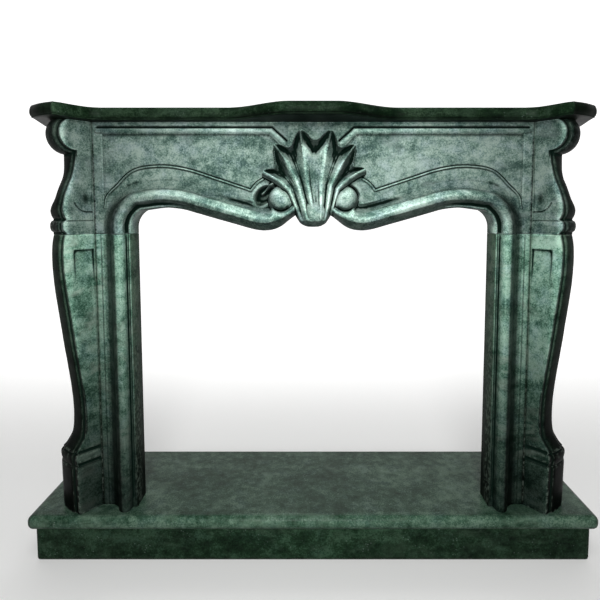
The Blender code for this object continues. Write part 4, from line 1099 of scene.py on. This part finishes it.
@dataclass
class FriezeCarving:
    """Mesh of the frieze: rows of places that follow its mouldings, and a plain back.

    Args:
        frieze: Shapes of the frieze.
    """

    frieze: Frieze

    def _shell_rows(self, carver: "Carver", outline: np.ndarray) -> None:
        """Rings of the shell from its foot to its rim, and rings just beyond the rim."""
        shell = self.frieze.shell
        last = len(shell.reach) - 1
        stations = np.linspace(0.0, last, last * 26 + 1)
        ones = np.ones(len(stations))
        rim = shell.place(stations, ones)
        outward = (rim - shell.hub) / np.linalg.norm(rim - shell.hub, axis=1, keepdims=True)
        for beyond in (0.0, 0.0014, 0.0028, 0.0042, 0.0056):
            self._keep(carver, rim + outward * beyond, 0.0010, outline, 0.0)
        for share in np.concatenate([np.linspace(0.994, 0.86, 13), np.linspace(0.845, 0.0, 56)]):
            self._keep(carver, shell.place(stations, ones * share), 0.0012, outline, 0.0)

    def _side_rows(self, mirror: float) -> list:
        """Rows along the arch, the fillet, the grooves and the ball on one side."""
        frieze = self.frieze
        edge = frieze.arch.edge(0.0030)
        normals = left_of(edge)
        sets = []
        for out in np.concatenate([np.linspace(0.0008, 0.022, 16), np.linspace(0.0238, 0.080, 32)]):
            row = edge[1:] - normals[1:] * out
            keep = distance(edge, row) > out - 0.0006
            sets.append((row[keep], 0.0011))
        for offset in np.linspace(-0.011, 0.011, 15):
            sets.append((frieze.fillet + left_of(frieze.fillet) * offset, 0.0012))
        ball = frieze.ball()
        for ring in np.linspace(0.04, 1.25, 24):
            turn = np.linspace(0.0, 2 * math.pi, max(6, round(ring * 72)), endpoint=False)
            circle = np.stack([np.cos(turn), np.sin(turn)], axis=1)
            sets.append((ball + frieze.ball_radius * ring * circle, 0.0011))
        soffit, half = frieze.size.soffit, frieze.size.frame_half
        for drop in np.linspace(0.0015, 0.0440, 27):
            x = np.arange(0.06, half - 0.001, 0.0036)
            row = np.stack([x, np.full(len(x), soffit - drop)], axis=1)
            sets.append((row, 0.0012))
        for margin in np.linspace(0.022, 0.040, 12):
            z = np.arange(frieze.size.jamb + 0.06, soffit - 0.03, 0.0036)
            sets.append((np.stack([np.full(len(z), half - margin), z], axis=1), 0.0012))
        return [(row * np.array([mirror, 1.0]), gap) for row, gap in sets]

    def build(self) -> None:
        """Carve the frieze and dress it."""
        size = self.frieze.size
        outline = self.frieze.outline()
        carver = Carver()
        carver.add(outline, 0.0)
        corners = len(carver.places)
        self._shell_rows(carver, outline)
        for mirror in (1.0, -1.0):
            for row, gap in self._side_rows(mirror):
                self._keep(carver, row, gap, outline, mirror)
        for half, rise, pitch, gap in ((0.19, 0.015, 0.0021, 0.0014), (size.frame_half, 0.0, 0.0046, 0.0029)):
            lattice = self._lattice(-half, half, size.jamb + rise, size.soffit, pitch)
            self._keep(carver, lattice, gap, outline, 0.0)
        self._join(carver, corners)

    @staticmethod
    def _lattice(left: float, right: float, low: float, high: float, pitch: float) -> np.ndarray:
        """Evenly spread places over a rectangle, every other row shifted by half a pitch."""
        across, up = np.arange(left, right, pitch), np.arange(low, high, pitch * 0.87)
        grid = np.stack(np.meshgrid(across, up), axis=-1)
        grid[1::2, :, 0] += pitch / 2
        return grid.reshape(-1, 2)

    def _keep(self, carver: Carver, row: np.ndarray, gap: float, outline: np.ndarray, mirror: float) -> None:
        """Add the places of a row that lie on the front and on their own side."""
        row = row[(row[:, 0] * mirror >= 0.0) & inside(outline, row)]
        if len(row):
            low = row[:, 1] < self.frieze.size.jamb + 0.0906
            clear = np.ones(len(row), bool)
            if low.any():
                clear[low] = distance(outline[np.r_[0:len(outline), 0]], row[low]) > 0.0007
            carver.add(row[clear], gap)

    def _join(self, carver: Carver, corners: int) -> None:
        """Join the places into triangles, add the back and make the piece."""
        size = self.frieze.size
        ring = [(i, (i + 1) % corners) for i in range(corners)]
        flat, _, faces, sources, _, _ = delaunay_2d_cdt([Vector(p) for p in carver.places], ring, [], 1, 1e-7)
        spots = np.array([tuple(p) for p in flat])
        level = self.frieze.level(spots)
        front = np.stack([spots[:, 0], size.face - level, spots[:, 1] + size.hearth_top], axis=1)
        order = {s: i for i, many in enumerate(sources) for s in many}
        rim = [order[i] for i in range(corners)]
        back = front[rim].copy()
        back[:, 1] = size.back
        count = len(front)
        behind = list(range(count, count + corners))
        sides = [(rim[i], rim[j], behind[j], behind[i]) for i, j in ring]
        points = np.vstack([front, back])
        shapes = [tuple(face) for face in faces] + sides + [tuple(reversed(behind))]
        make_piece("carved_frieze", points, shapes, Slot.CARVED, CARVED, "frieze", veil=self._veil)

    def _veil(self, points: np.ndarray) -> np.ndarray:
        """Share of the veil: painted shade on the soffit of the arch, and darker joints with the consoles."""
        size = self.frieze.size
        soffit = 0.7 * smoothstep(size.face + 0.006, size.face + 0.014, points[:, 1])
        joint = 0.6 * smoothstep(size.frame_half - 0.006, size.frame_half - 0.001, np.abs(points[:, 0]))
        return np.maximum(soffit, joint)


# Uprights

@dataclass(frozen=True)
class Jamb:
    """Moulded upright beside the opening.

    Args:
        size: Driving sizes of the surround.
        frieze: Frieze whose moulding runs on down the jamb.
        groove_out: Distance of the outer groove from the opening.
        quirk_stop: Height over the hearth where the quirk stops.
    """

    size: Sizes
    frieze: Frieze
    groove_out: float = 0.088
    quirk_stop: float = 0.020

    def build(self) -> None:
        """Carve both jambs and dress them."""
        end = self.size.frame_half - JOINT - self.size.opening_half
        out = np.unique(np.concatenate([np.linspace(0.0, 0.022, 23), np.linspace(0.0235, 0.080, 38),
                                        np.linspace(0.0815, end, 12)]))
        low, high = JOINT, self.size.jamb - JOINT
        heights = np.unique(np.concatenate([[low, low + 0.0008], np.linspace(low + 0.003, 0.04, 12),
                                            np.linspace(0.045, high - 0.003, 120), [high - 0.0008, high]]))
        for sign, name in ((1.0, "jamb_right"), (-1.0, "jamb_left")):
            points, rows = [], []
            for height in heights:
                spots = np.stack([sign * (self.size.opening_half + out), np.full(len(out), height)], axis=1)
                proud = rounded(self.frieze.section, out)
                stop = smoothstep(self.quirk_stop, self.quirk_stop + 0.012, np.full(1, height))[0]
                quirk = (out > 0.005) & (out < 0.0145)
                proud = np.where(quirk, proud + (0.012 - proud) * (1.0 - stop) * (proud < 0.012), proud)
                proud = proud + 0.00045 * uneven(spots, 0.085, 2.0 + sign)
                proud -= 0.0012 * np.exp(-((out - self.groove_out) / 0.0016) ** 2)
                proud -= 0.0007 * math.exp(-min(height - low, high - height) / 0.0009)
                row = [(self.size.opening_half, self.size.back)]
                row += list(zip(self.size.opening_half + out, self.size.face - proud))
                row += [(self.size.frame_half - JOINT, self.size.back)]
                start = len(points)
                points += [(sign * x, y, height + self.size.hearth_top) for x, y in row]
                rows.append(list(range(start, len(points))))
            faces = strip(rows, True) + [tuple(rows[0]), tuple(rows[-1])]
            make_piece("moulded_" + name, np.array(points), faces, Slot.UPRIGHT, UPRIGHT, name,
                       veil=self._veil)

    def _veil(self, points: np.ndarray) -> np.ndarray:
        """Share of the veil: painted shade on the reveal, and a darker joint with the console."""
        out = np.abs(points[:, 0])
        reveal = 0.92 * smoothstep(self.size.opening_half + 0.0030, self.size.opening_half + 0.0008, out)
        joint = 0.85 * smoothstep(self.size.frame_half - 0.007, self.size.frame_half - 0.001, out)
        return np.maximum(reveal, joint)


@dataclass(frozen=True)
class Console:
    """Canted pilaster at the end of the frame: a cap with its scroll on a bowed leg.

    Args:
        size: Driving sizes of the surround.
        width: Width of the front.
        depth: Distance from the frame's plane to the return.
        foot_width: Width of the foot.
        neck_width: Width of the neck under the scroll.
        leg_top_width: Width of the leg under the cap.
        rib_proud: How far the middle rib stands proud.
        scroll_roll: How far the rib stands proud round the scroll.
        scroll_radius: Radius of the scroll's disc.
        scroll_reach: Reach of the scroll's centre.
        scroll_drop: Distance from the soffit to the scroll's centre.
        neck_reach: Reach of the neck under the scroll.
        swell_reach: Reach of the swelling over the bead.
        knee_reach: Reach of the leg's knee.
        foot_reach: Reach of the foot.
        ankle: Height of the ankle over the hearth.
        rib_start: Place across the front where the rib starts.
        rib_end: Place where it ends.
        rib_bevel: Width of its rounded sides.
    """

    size: Sizes
    width: float = 0.080
    depth: float = 0.1025
    foot_width: float = 0.100
    neck_width: float = 0.054
    leg_top_width: float = 0.073
    rib_proud: float = 0.007
    scroll_roll: float = 0.011
    scroll_radius: float = 0.0430
    scroll_reach: float = 0.0450
    scroll_drop: float = 0.0370
    neck_reach: float = 0.0430
    swell_reach: float = 0.0880
    knee_reach: float = 0.0885
    foot_reach: float = 0.0735
    ankle: float = 0.255
    rib_start: float = 0.014
    rib_end: float = 0.070
    rib_bevel: float = 0.010

    @property
    def scroll(self) -> float:
        """Height of the scroll's centre."""
        return self.size.soffit - self.scroll_drop

    def _with_rib(self, points: np.ndarray) -> np.ndarray:
        """Pair each point of a front edge with the rib's crest, as rows of four."""
        return np.hstack([points, points + np.array([self.rib_proud, 0.0])])

    def _cap_lines(self) -> np.ndarray:
        """Front of the cap: edge and rib, from the bead up to the scroll."""
        foot = self.size.jamb + JOINT
        rise = self.scroll - self.scroll_radius - foot
        shares = ((0.903, 0.0), (0.903, 0.023), (0.960, 0.038), (0.994, 0.067), (1.0, 0.095),
                  (0.994, 0.123), (0.960, 0.152), (0.898, 0.165), (0.881, 0.180), (0.932, 0.213),
                  (0.972, 0.270), (0.977, 0.322), (0.949, 0.388), (0.881, 0.475), (0.784, 0.571),
                  (0.682, 0.659), (0.602, 0.751), (0.545, 0.847), (0.506, 0.926))
        swell = spline([(self.swell_reach * out, foot + rise * up) for out, up in shares], 0.0032)
        centre = (self.scroll_reach, self.scroll)
        roll_radius = self.scroll_radius + self.scroll_roll
        neck_rib = self.neck_reach + self.rib_proud
        throat = np.array([[self.neck_reach, self.scroll - self.scroll_radius - 0.001, neck_rib,
                            self.scroll - roll_radius - 0.001]])
        ceiling = self.size.soffit - JOINT - self.scroll
        disc, roll = (arc(centre, radius, start, math.degrees(math.asin(ceiling / radius)), 34)
                      for radius, start in ((self.scroll_radius, -86.0), (roll_radius, -84.0)))
        roll[:, 0] = np.maximum(roll[:, 0], neck_rib)
        return np.vstack([self._with_rib(swell), throat, np.hstack([disc, roll])])

    def _leg_lines(self) -> np.ndarray:
        """Front of the leg: edge and rib, from the foot up to the knee."""
        foot = ((0.958, 0.0), (0.973, 0.235), (0.980, 0.510), (0.939, 0.537), (0.973, 0.557),
                (1.0, 0.620), (0.973, 0.667), (0.932, 0.684), (0.973, 0.706), (0.871, 0.745),
                (0.748, 0.792), (0.639, 0.843), (0.585, 0.922), (0.565, 1.0))
        shin = ((0.4655, 0.047), (0.480, 0.112), (0.522, 0.187), (0.599, 0.289), (0.698, 0.406),
                (0.791, 0.532), (0.876, 0.644), (0.9435, 0.737), (0.989, 0.821), (1.0, 0.887),
                (0.983, 0.942), (0.949, 0.976), (0.915, 1.0))
        ankle, rise = self.ankle - JOINT, self.size.jamb - JOINT - self.ankle
        points = [(self.foot_reach * out, JOINT + ankle * up) for out, up in foot]
        points += [(self.knee_reach * out, self.ankle + rise * up) for out, up in shin]
        return self._with_rib(spline(points, 0.0045))

    def _cap_width(self, height: float) -> float:
        """Width of the cap, pinched in at the neck on the outer side."""
        share = np.array([(height - self.size.jamb) / (self.scroll - self.size.jamb)])
        pinch = smoothstep(0.217, 0.382, share)[0] * (1.0 - smoothstep(0.548, 0.842, share)[0])
        return self.width + (self.neck_width - self.width) * pinch

    def _leg_width(self, height: float) -> float:
        """Width of the leg, with the foot wider on the outer side."""
        level = np.array([height])
        shin = smoothstep(0.620, 0.753, level / self.ankle)[0]
        top = smoothstep(0.7585, 0.948, level / self.size.jamb)[0]
        leg = self.foot_width + (self.width - self.foot_width) * shin
        return leg + (self.leg_top_width - self.width) * top

    def _cap_sink(self, reach: np.ndarray, height: np.ndarray) -> np.ndarray:
        """Depth carved out of the cap's visible side: the incised arc, its hollow and the bead."""
        jamb = self.size.jamb
        spots = np.stack([reach, height], axis=1)
        line = spline([(0.0520, jamb + 0.0850), (0.0468, jamb + 0.0765), (0.0352, jamb + 0.0661),
                       (0.0193, jamb + 0.0617), (0.0, jamb + 0.0608)], 0.004)
        cut = 0.0036 * np.exp(-(distance(line, spots) / 0.0020) ** 2)
        drop = 0.0065 * np.exp(-((reach - 0.020) / 0.017) ** 2 - ((height - jamb - 0.098) / 0.030) ** 2)
        bead = 0.0024 * np.exp(-((height - jamb - 0.0375) / 0.0022) ** 2)
        return cut + drop + bead

    def _leg_sink(self, reach: np.ndarray, height: np.ndarray) -> np.ndarray:
        """Depth carved out of the leg's visible side: the sunk panel and the band round the foot."""
        top = self.size.jamb - 0.040
        corner = smoothstep(0.064, 0.058, reach + 0.25 * np.maximum(0.0, height - top + 0.010))
        panel = 0.0045 * smoothstep(top, top - 0.0035, height) * smoothstep(0.620, 0.745, height) * corner
        band = 0.0
        for level, depth in ((0.1775, 0.0070), (0.1430, 0.0068)):
            band = band + depth * np.exp(-((height - level) / 0.0052) ** 2)
        return panel + band

    def build(self) -> None:
        """Carve both consoles and dress them."""
        for part, lines, width, sink, slot, finish in (
                ("console_cap", self._cap_lines(), self._cap_width, self._cap_sink, Slot.CARVED, CARVED),
                ("console_leg", self._leg_lines(), self._leg_width, self._leg_sink, Slot.UPRIGHT, UPRIGHT)):
            for sign, hand in ((1.0, "right"), (-1.0, "left")):
                points, faces = self._loft(lines, width, sink, sign)
                name = f"{part}_{hand}"
                make_piece("carved_" + name, points, faces, slot, finish, name, veil=self._veil)

    def _veil(self, points: np.ndarray) -> np.ndarray:
        """Share of the veil: painted shade on the front, and a darker joint with the jamb."""
        aside = np.abs(points[:, 0]) - self.size.frame_half - JOINT
        out = np.stack([aside, points[:, 1] - self.size.face], axis=1)
        place = out @ np.array([math.cos(CANT), math.sin(CANT)])
        reach = out @ np.array([math.sin(CANT), -math.cos(CANT)])
        return np.maximum(0.85 * smoothstep(0.005, 0.010, place), 0.8 * smoothstep(0.006, 0.001, reach))

    def _loft(self, lines: np.ndarray, width: Callable, sink: Callable, sign: float) -> tuple:
        """Plan sections stacked along the front profile.

        Args:
            lines: Edge and rib of the front, one height a row.
            width: Gives the width at a height.
            sink: Gives the depth carved out of the visible side.
            sign: 1 for the console on +x, -1 for the other.

        Returns:
            Vertices and faces.
        """
        size = self.size
        forward = np.array([math.sin(CANT), -math.cos(CANT)])
        across = np.array([math.cos(CANT), math.sin(CANT)])
        corner = np.array([size.frame_half + JOINT, size.face])
        far_x = corner[0] + across[0] * self.width
        far_y = corner[1] + across[1] * self.width
        back_y = size.face + self.depth
        start, end = self.rib_start, self.rib_end
        crest_start, crest_end = start + self.rib_bevel, end - self.rib_bevel
        places = np.concatenate([np.linspace(0.0, start, 6)[:-1], np.linspace(start, crest_start, 7)[:-1],
                                 np.linspace(crest_start, crest_end, 10)[:-1],
                                 np.linspace(crest_end, end, 7)[:-1], np.linspace(end, self.width, 5)])
        rib = rounded(((0.0, 0.0), (start - 0.0005, 0.0), (start, 0.0), (start + 0.003, 0.50),
                       (crest_start, 0.86), ((start + end) / 2, 1.0), (crest_end, 0.86),
                       (end - 0.003, 0.50), (end, 0.0), (end + 0.0005, 0.0), (self.width, 0.0)), places)
        arris = np.exp(-places / 0.0022) + np.exp(-(self.width - places) / 0.0022)
        points, rows = [], []
        for edge_x, edge_z, rib_x, rib_z in lines:
            scale = width(edge_z) / self.width
            shares = np.linspace(0.0, 1.0, 22)[:-1]
            reach = edge_x * shares
            depth = sink(reach, np.full(len(reach), edge_z))
            depth = depth * smoothstep(0.0, 0.012, shares) * smoothstep(1.0, 0.93, shares)
            side = corner + reach[:, None] * forward + depth[:, None] * across
            side_z = np.full(len(side), edge_z)
            shift = edge_x + (rib_x - edge_x) * rib - 0.0022 * arris
            spots = np.stack([places, np.full(len(places), edge_z)], axis=1)
            shift = shift + 0.00035 * uneven(spots, 0.070, 4.0 + sign)
            front = corner + shift[:, None] * forward + (places * scale)[:, None] * across
            front_z = edge_z + (rib_z - edge_z) * rib
            plan = np.vstack([[(corner[0], back_y)], side, front, [(far_x, far_y)], [(far_x, back_y)]])
            height = np.concatenate([[edge_z], side_z, front_z, [edge_z, edge_z]])
            first = len(points)
            points += [(sign * x, y, z + size.hearth_top)
                       for (x, y), z in zip(plan.tolist(), height.tolist())]
            rows.append(list(range(first, len(points))))
        faces = strip(rows, True) + [tuple(rows[0]), tuple(rows[-1])]
        return np.array(points), faces


@dataclass(frozen=True)
class Block:
    """Plain slab with eased arrises, for the returns and the hearth's risers.

    Args:
        node: CAD node that the slab stands for.
        slot: Material slot.
        finish: Stone.
        ease: Radius of the arrises.
        pitch: Rough size of the faces.
    """

    node: str
    slot: Slot
    finish: Marble
    ease: float = 0.0025
    pitch: float = 0.016

    def build(self) -> None:
        """Cut the slab, ease its arrises and dress it."""
        low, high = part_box(self.node)
        builder = bmesh.new()
        made = bmesh.ops.create_cube(builder, size=1.0)
        for vertex in made["verts"]:
            for axis in range(3):
                vertex.co[axis] = low[axis] if vertex.co[axis] < 0.0 else high[axis]
        bmesh.ops.bevel(builder, geom=list(builder.edges), offset=self.ease, segments=3, profile=0.5,
                        affect="EDGES")
        for axis in range(3):
            steps = max(1, round((high[axis] - low[axis]) / self.pitch))
            for step in range(1, steps):
                spot = Vector((0.0, 0.0, 0.0))
                spot[axis] = low[axis] + (high[axis] - low[axis]) * step / steps
                normal = Vector((0.0, 0.0, 0.0))
                normal[axis] = 1.0
                geometry = list(builder.verts) + list(builder.edges) + list(builder.faces)
                bmesh.ops.bisect_plane(builder, geom=geometry, plane_co=spot, plane_no=normal)
        points = np.array([tuple(v.co) for v in builder.verts])
        faces = [tuple(v.index for v in face.verts) for face in builder.faces]
        builder.free()
        make_piece("eased_" + self.node, points, faces, self.slot, self.finish, self.node)


@dataclass(frozen=True)
class HearthSlab:
    """Slab of the hearth with its rounded nose on three sides.

    Args:
        size: Driving sizes of the surround.
        nose: Radius of the nose.
    """

    size: Sizes
    nose: float = 0.017

    def build(self) -> None:
        """Shape the slab and dress it."""
        low, high = self.size.slab_low, self.size.slab_high
        radius = self.nose
        lower = [(radius * (1 - math.cos(a)), low.z + radius * (1 - math.sin(a)))
                 for a in np.linspace(math.pi / 2, 0.0, 9)]
        upper = [(radius * (1 - math.cos(a)), high.z - radius * (1 - math.sin(a)))
                 for a in np.linspace(0.0, math.pi / 2, 9)]
        section = [(radius + 0.004, low.z)] + lower + upper + [(radius + 0.004, high.z)]
        turns = arc((0.0, 0.0), 1.0, -90.0, 0.0, 8)
        corner = np.array([high.x - radius, low.y + radius])
        points, rows = [], []
        for inset, height in section:
            reach = radius - inset
            spread = turns * reach if reach > 0.0 else np.tile((reach, -reach), (len(turns), 1))
            half = [(x, low.y + inset) for x in np.linspace(0.0, high.x - radius, 60)[:-1]]
            half += (corner + spread).tolist()
            half += [(high.x - inset, y) for y in np.linspace(low.y + radius, self.size.wall, 20)[1:]]
            other = [(-x, y) for x, y in reversed(half[1:])]
            start = len(points)
            points += [(x, y, height) for x, y in other + half]
            rows.append(list(range(start, len(points))))
        faces = strip(rows, True) + [tuple(rows[0]), tuple(rows[-1])]
        make_piece("rounded_hearth_slab", np.array(points), faces, Slot.HEARTH, HEARTH, "hearth_slab")


@dataclass(frozen=True)
class Shelf:
    """Mantelshelf with its bowed front, curled ears and moulded edge.

    Args:
        size: Driving sizes of the surround.
        out: How far the straight front stands before the frame.
        bow: Depth of the bow.
        bow_half: Half width of the bow at its foot.
        bow_crown: Half width of the bow's flat crown.
        beyond: How far the shelf runs on beyond the frame.
        ear_start_in: How far inside the frame's end the ear starts.
        peak_beyond: How far the ear's peak lies beyond the frame.
        ear_out: How far the ear's peak stands before the straight front.
        tip_beyond: How far the ear's tip lies beyond the frame.
        tip_out: How far the ear's tip stands before the straight front.
        flank: Length of the curved flank.
        back_shares: Shares of the way to the wall at which the flat faces are cut.
    """

    size: Sizes
    out: float = 0.040
    bow: float = 0.0885
    bow_half: float = 0.232
    bow_crown: float = 0.060
    beyond: float = 0.170
    ear_start_in: float = 0.040
    peak_beyond: float = 0.048
    ear_out: float = 0.0820
    tip_beyond: float = 0.133
    tip_out: float = 0.0285
    flank: float = 0.145
    back_shares: tuple = (0.04, 0.12, 0.30, 0.60, 1.0)

    def _half_plan(self) -> np.ndarray:
        """Plan from the middle of the front round to the wall on the +x side."""
        frame_half, wall = self.size.frame_half, self.size.wall
        straight = self.size.face - self.out
        x = np.linspace(0.0, self.bow_half, 66)
        bow = np.stack([x, straight - self.bow * smoothstep(self.bow_half, self.bow_crown, x)], axis=1)
        start = frame_half - self.ear_start_in
        flat = np.stack([np.linspace(self.bow_half, start, 60)[1:-1], np.full(58, straight)], axis=1)
        peak = np.array([frame_half + self.peak_beyond, straight - self.ear_out])
        tip = np.array([frame_half + self.tip_beyond, straight - self.tip_out])
        inner = spline([(start, straight), (start + 0.026, straight - 0.0095),
                        (start + 0.050, straight - 0.0370), (start + 0.069, straight - 0.0650), peak], 0.004)
        front = spline([peak, (peak + tip) / 2 + np.array([0.003, -0.004]), tip], 0.005)
        wide = np.array([frame_half + self.beyond, tip[1] + self.flank])
        side = spline([tip, tip + np.array([0.006, 0.030]), wide - np.array([0.014, 0.052]), wide], 0.005)
        rest = np.stack([np.full(16, wide[0]), np.linspace(wide[1], wall, 17)[1:]], axis=1)
        return np.vstack([bow, flat, inner, front[1:], side[1:], rest])

    def build(self) -> None:
        """Shape the shelf's moulded edge round its plan and dress it."""
        half = self._half_plan()
        plan = np.vstack([half[::-1][:-1] * np.array([-1.0, 1.0]), half])
        normals = left_of(plan)
        normals[0], normals[-1] = (1.0, 0.0), (-1.0, 0.0)
        low, top = self.size.shelf_low.z, self.size.shelf_high.z
        section = spline([(0.004, low + 0.0006), (0.0042, low + 0.003), (0.0018, low + 0.0055),
                          (0.0, low + 0.013), (0.0006, low + 0.021), (0.0034, top - 0.0042),
                          (0.007, top - 0.0002)], 0.0016)
        wall = self.size.wall
        edge_rings = []
        for inset, height in [(0.0052, low)] + section.tolist() + [(0.0090, top)]:
            ring = plan + normals * inset
            edge_rings.append([(x, min(max(y, -wall), wall), height) for x, y in ring.tolist()])
        under, over = ([[(x, y + (wall - y) * share, z) for x, y, z in ring] for share in shares]
                       for ring, shares in ((edge_rings[0], self.back_shares[::-1]),
                                            (edge_rings[-1], self.back_shares)))
        points, rows = [], []
        for ring in under + edge_rings + over:
            start = len(points)
            points += ring
            rows.append(list(range(start, len(points))))
        faces = strip(rows + [rows[0]], False)
        sides = rows[len(under):len(under) + len(edge_rings)]
        faces += [tuple(row[0] for row in sides), tuple(row[-1] for row in sides)]
        make_piece("moulded_mantelshelf", np.array(points), faces, Slot.SHELF, SHELF, "mantelshelf")


# Camera, floor and light

@dataclass(frozen=True)
class Studio:
    """Plain pale floor, soft light and the photograph's camera.

    Args:
        size: Driving sizes of the surround.
        eye_height: Height of the camera over the hearth.
        eye_distance: Distance of the camera before the origin.
        pitch: Downward angle in degrees.
        lens: Focal length in millimetres.
        shift: Sideways and upward shift of the picture.
        room: Brightness of the pale room.
        glow: Brightness of the backdrop behind the object.
        sheen: Brightness that the floor itself adds under the object.
        lamps: Name, place, width and power of each lamp.
    """

    size: Sizes
    eye_height: float = 0.858
    eye_distance: float = 1.560
    pitch: float = 4.51
    lens: float = 31.2
    shift: tuple = (-13 / 600, -49 / 600)
    room: float = 0.20
    glow: float = 0.75
    sheen: float = 0.14
    lamps: tuple = (("front_lamp", (0.0, -2.5, 1.55), 0.8, 50.0), ("top_lamp", (0.0, -1.6, 3.2), 1.4, 14.0),
                    ("rear_lamp", (0.0, 3.0, 3.4), 1.8, 14.0))

    def camera(self) -> None:
        """Place the camera and make it the scene's."""
        data = bpy.data.cameras.new("camera")
        data.sensor_width = 36.0
        data.lens = self.lens
        data.shift_x, data.shift_y = self.shift
        camera = bpy.data.objects.new("camera", data)
        camera.location = (0.0, -self.eye_distance, self.size.hearth_top + self.eye_height)
        camera.rotation_euler = (math.radians(90.0 - self.pitch), 0.0, 0.0)
        bpy.context.scene.collection.objects.link(camera)
        bpy.context.scene.camera = camera

    def floor(self) -> None:
        """A wide pale floor that sweeps up into a glowing backdrop, staged."""
        wide, bend, radius, high = 30.0, 8.0, 3.0, 16.0
        turns = np.radians(np.linspace(-90.0, 0.0, 13))
        sweep = [(bend + radius * math.cos(turn), radius + radius * math.sin(turn)) for turn in turns]
        line = [(-wide, 0.0)] + sweep + [(bend + radius, high)]
        points = [(side, y, z) for side in (-wide, wide) for y, z in line]
        count = len(line)
        faces = [(i, i + 1, i + 1 + count, i + count) for i in range(count - 1)]
        mesh = bpy.data.meshes.new("floor")
        mesh.from_pydata(points, [], faces)
        mesh.shade_smooth()
        floor = bpy.data.objects.new("floor", mesh)
        bpy.context.scene.collection.objects.link(floor)
        plain = bpy.data.materials.new("pale_floor")
        plain.use_nodes = True
        shader = Shader(plain.node_tree)
        place = shader.place()
        share = (shader.along(place, "Z").ramp(0.0, 1.0) + shader.along(place, "Y").ramp(0.1, 2.4)).clamp()
        glow = shader.mix(share, (self.sheen,) * 3, (self.glow,) * 3)
        principled = plain.node_tree.nodes["Principled BSDF"]
        plain.node_tree.links.new(glow.socket, principled.inputs["Emission Color"])
        principled.inputs["Emission Strength"].default_value = 1.0
        principled.inputs["Base Color"].default_value = (0.80, 0.80, 0.79, 1.0)
        principled.inputs["Roughness"].default_value = 0.85
        mesh.materials.append(plain)

    def light(self) -> None:
        """A pale surround, a lamp in front, a weaker one overhead and one behind."""
        world = bpy.data.worlds.new("pale_room")
        world.use_nodes = True
        world.node_tree.nodes["Background"].inputs["Color"].default_value = (1.0, 1.0, 1.0, 1.0)
        world.node_tree.nodes["Background"].inputs["Strength"].default_value = self.room
        bpy.context.scene.world = world
        bpy.context.scene.view_settings.view_transform = "Standard"
        for name, place, width, power in self.lamps:
            data = bpy.data.lights.new(name, "AREA")
            data.shape = "DISK"
            data.size = width
            data.energy = power
            lamp = bpy.data.objects.new(name, data)
            lamp.location = place
            aim = Vector((0.0, 0.0, 0.75)) - Vector(place)
            lamp.rotation_euler = aim.to_track_quat("-Z", "Y").to_euler()
            bpy.context.scene.collection.objects.link(lamp)

    def build(self) -> None:
        """Set up the camera, the floor and the light."""
        self.camera()
        self.floor()
        self.light()


def main() -> None:
    """Build every piece."""
    logging.basicConfig(level=logging.INFO, format="%(message)s")
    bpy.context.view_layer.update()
    size = read_sizes()
    Studio(size).build()
    frieze = Frieze(size, Arch(size), Shell(size))
    FriezeCarving(frieze).build()
    Jamb(size, frieze).build()
    Console(size).build()
    Shelf(size).build()
    HearthSlab(size).build()
    for side in ("left", "right"):
        Block("side_return_" + side, Slot.UPRIGHT, UPRIGHT).build()
    for side, ease in (("front", 0.008), ("left", 0.0025), ("right", 0.0025)):
        Block("hearth_riser_" + side, Slot.RISER, RISER, ease).build()


if __name__ == "__main__":
    main()
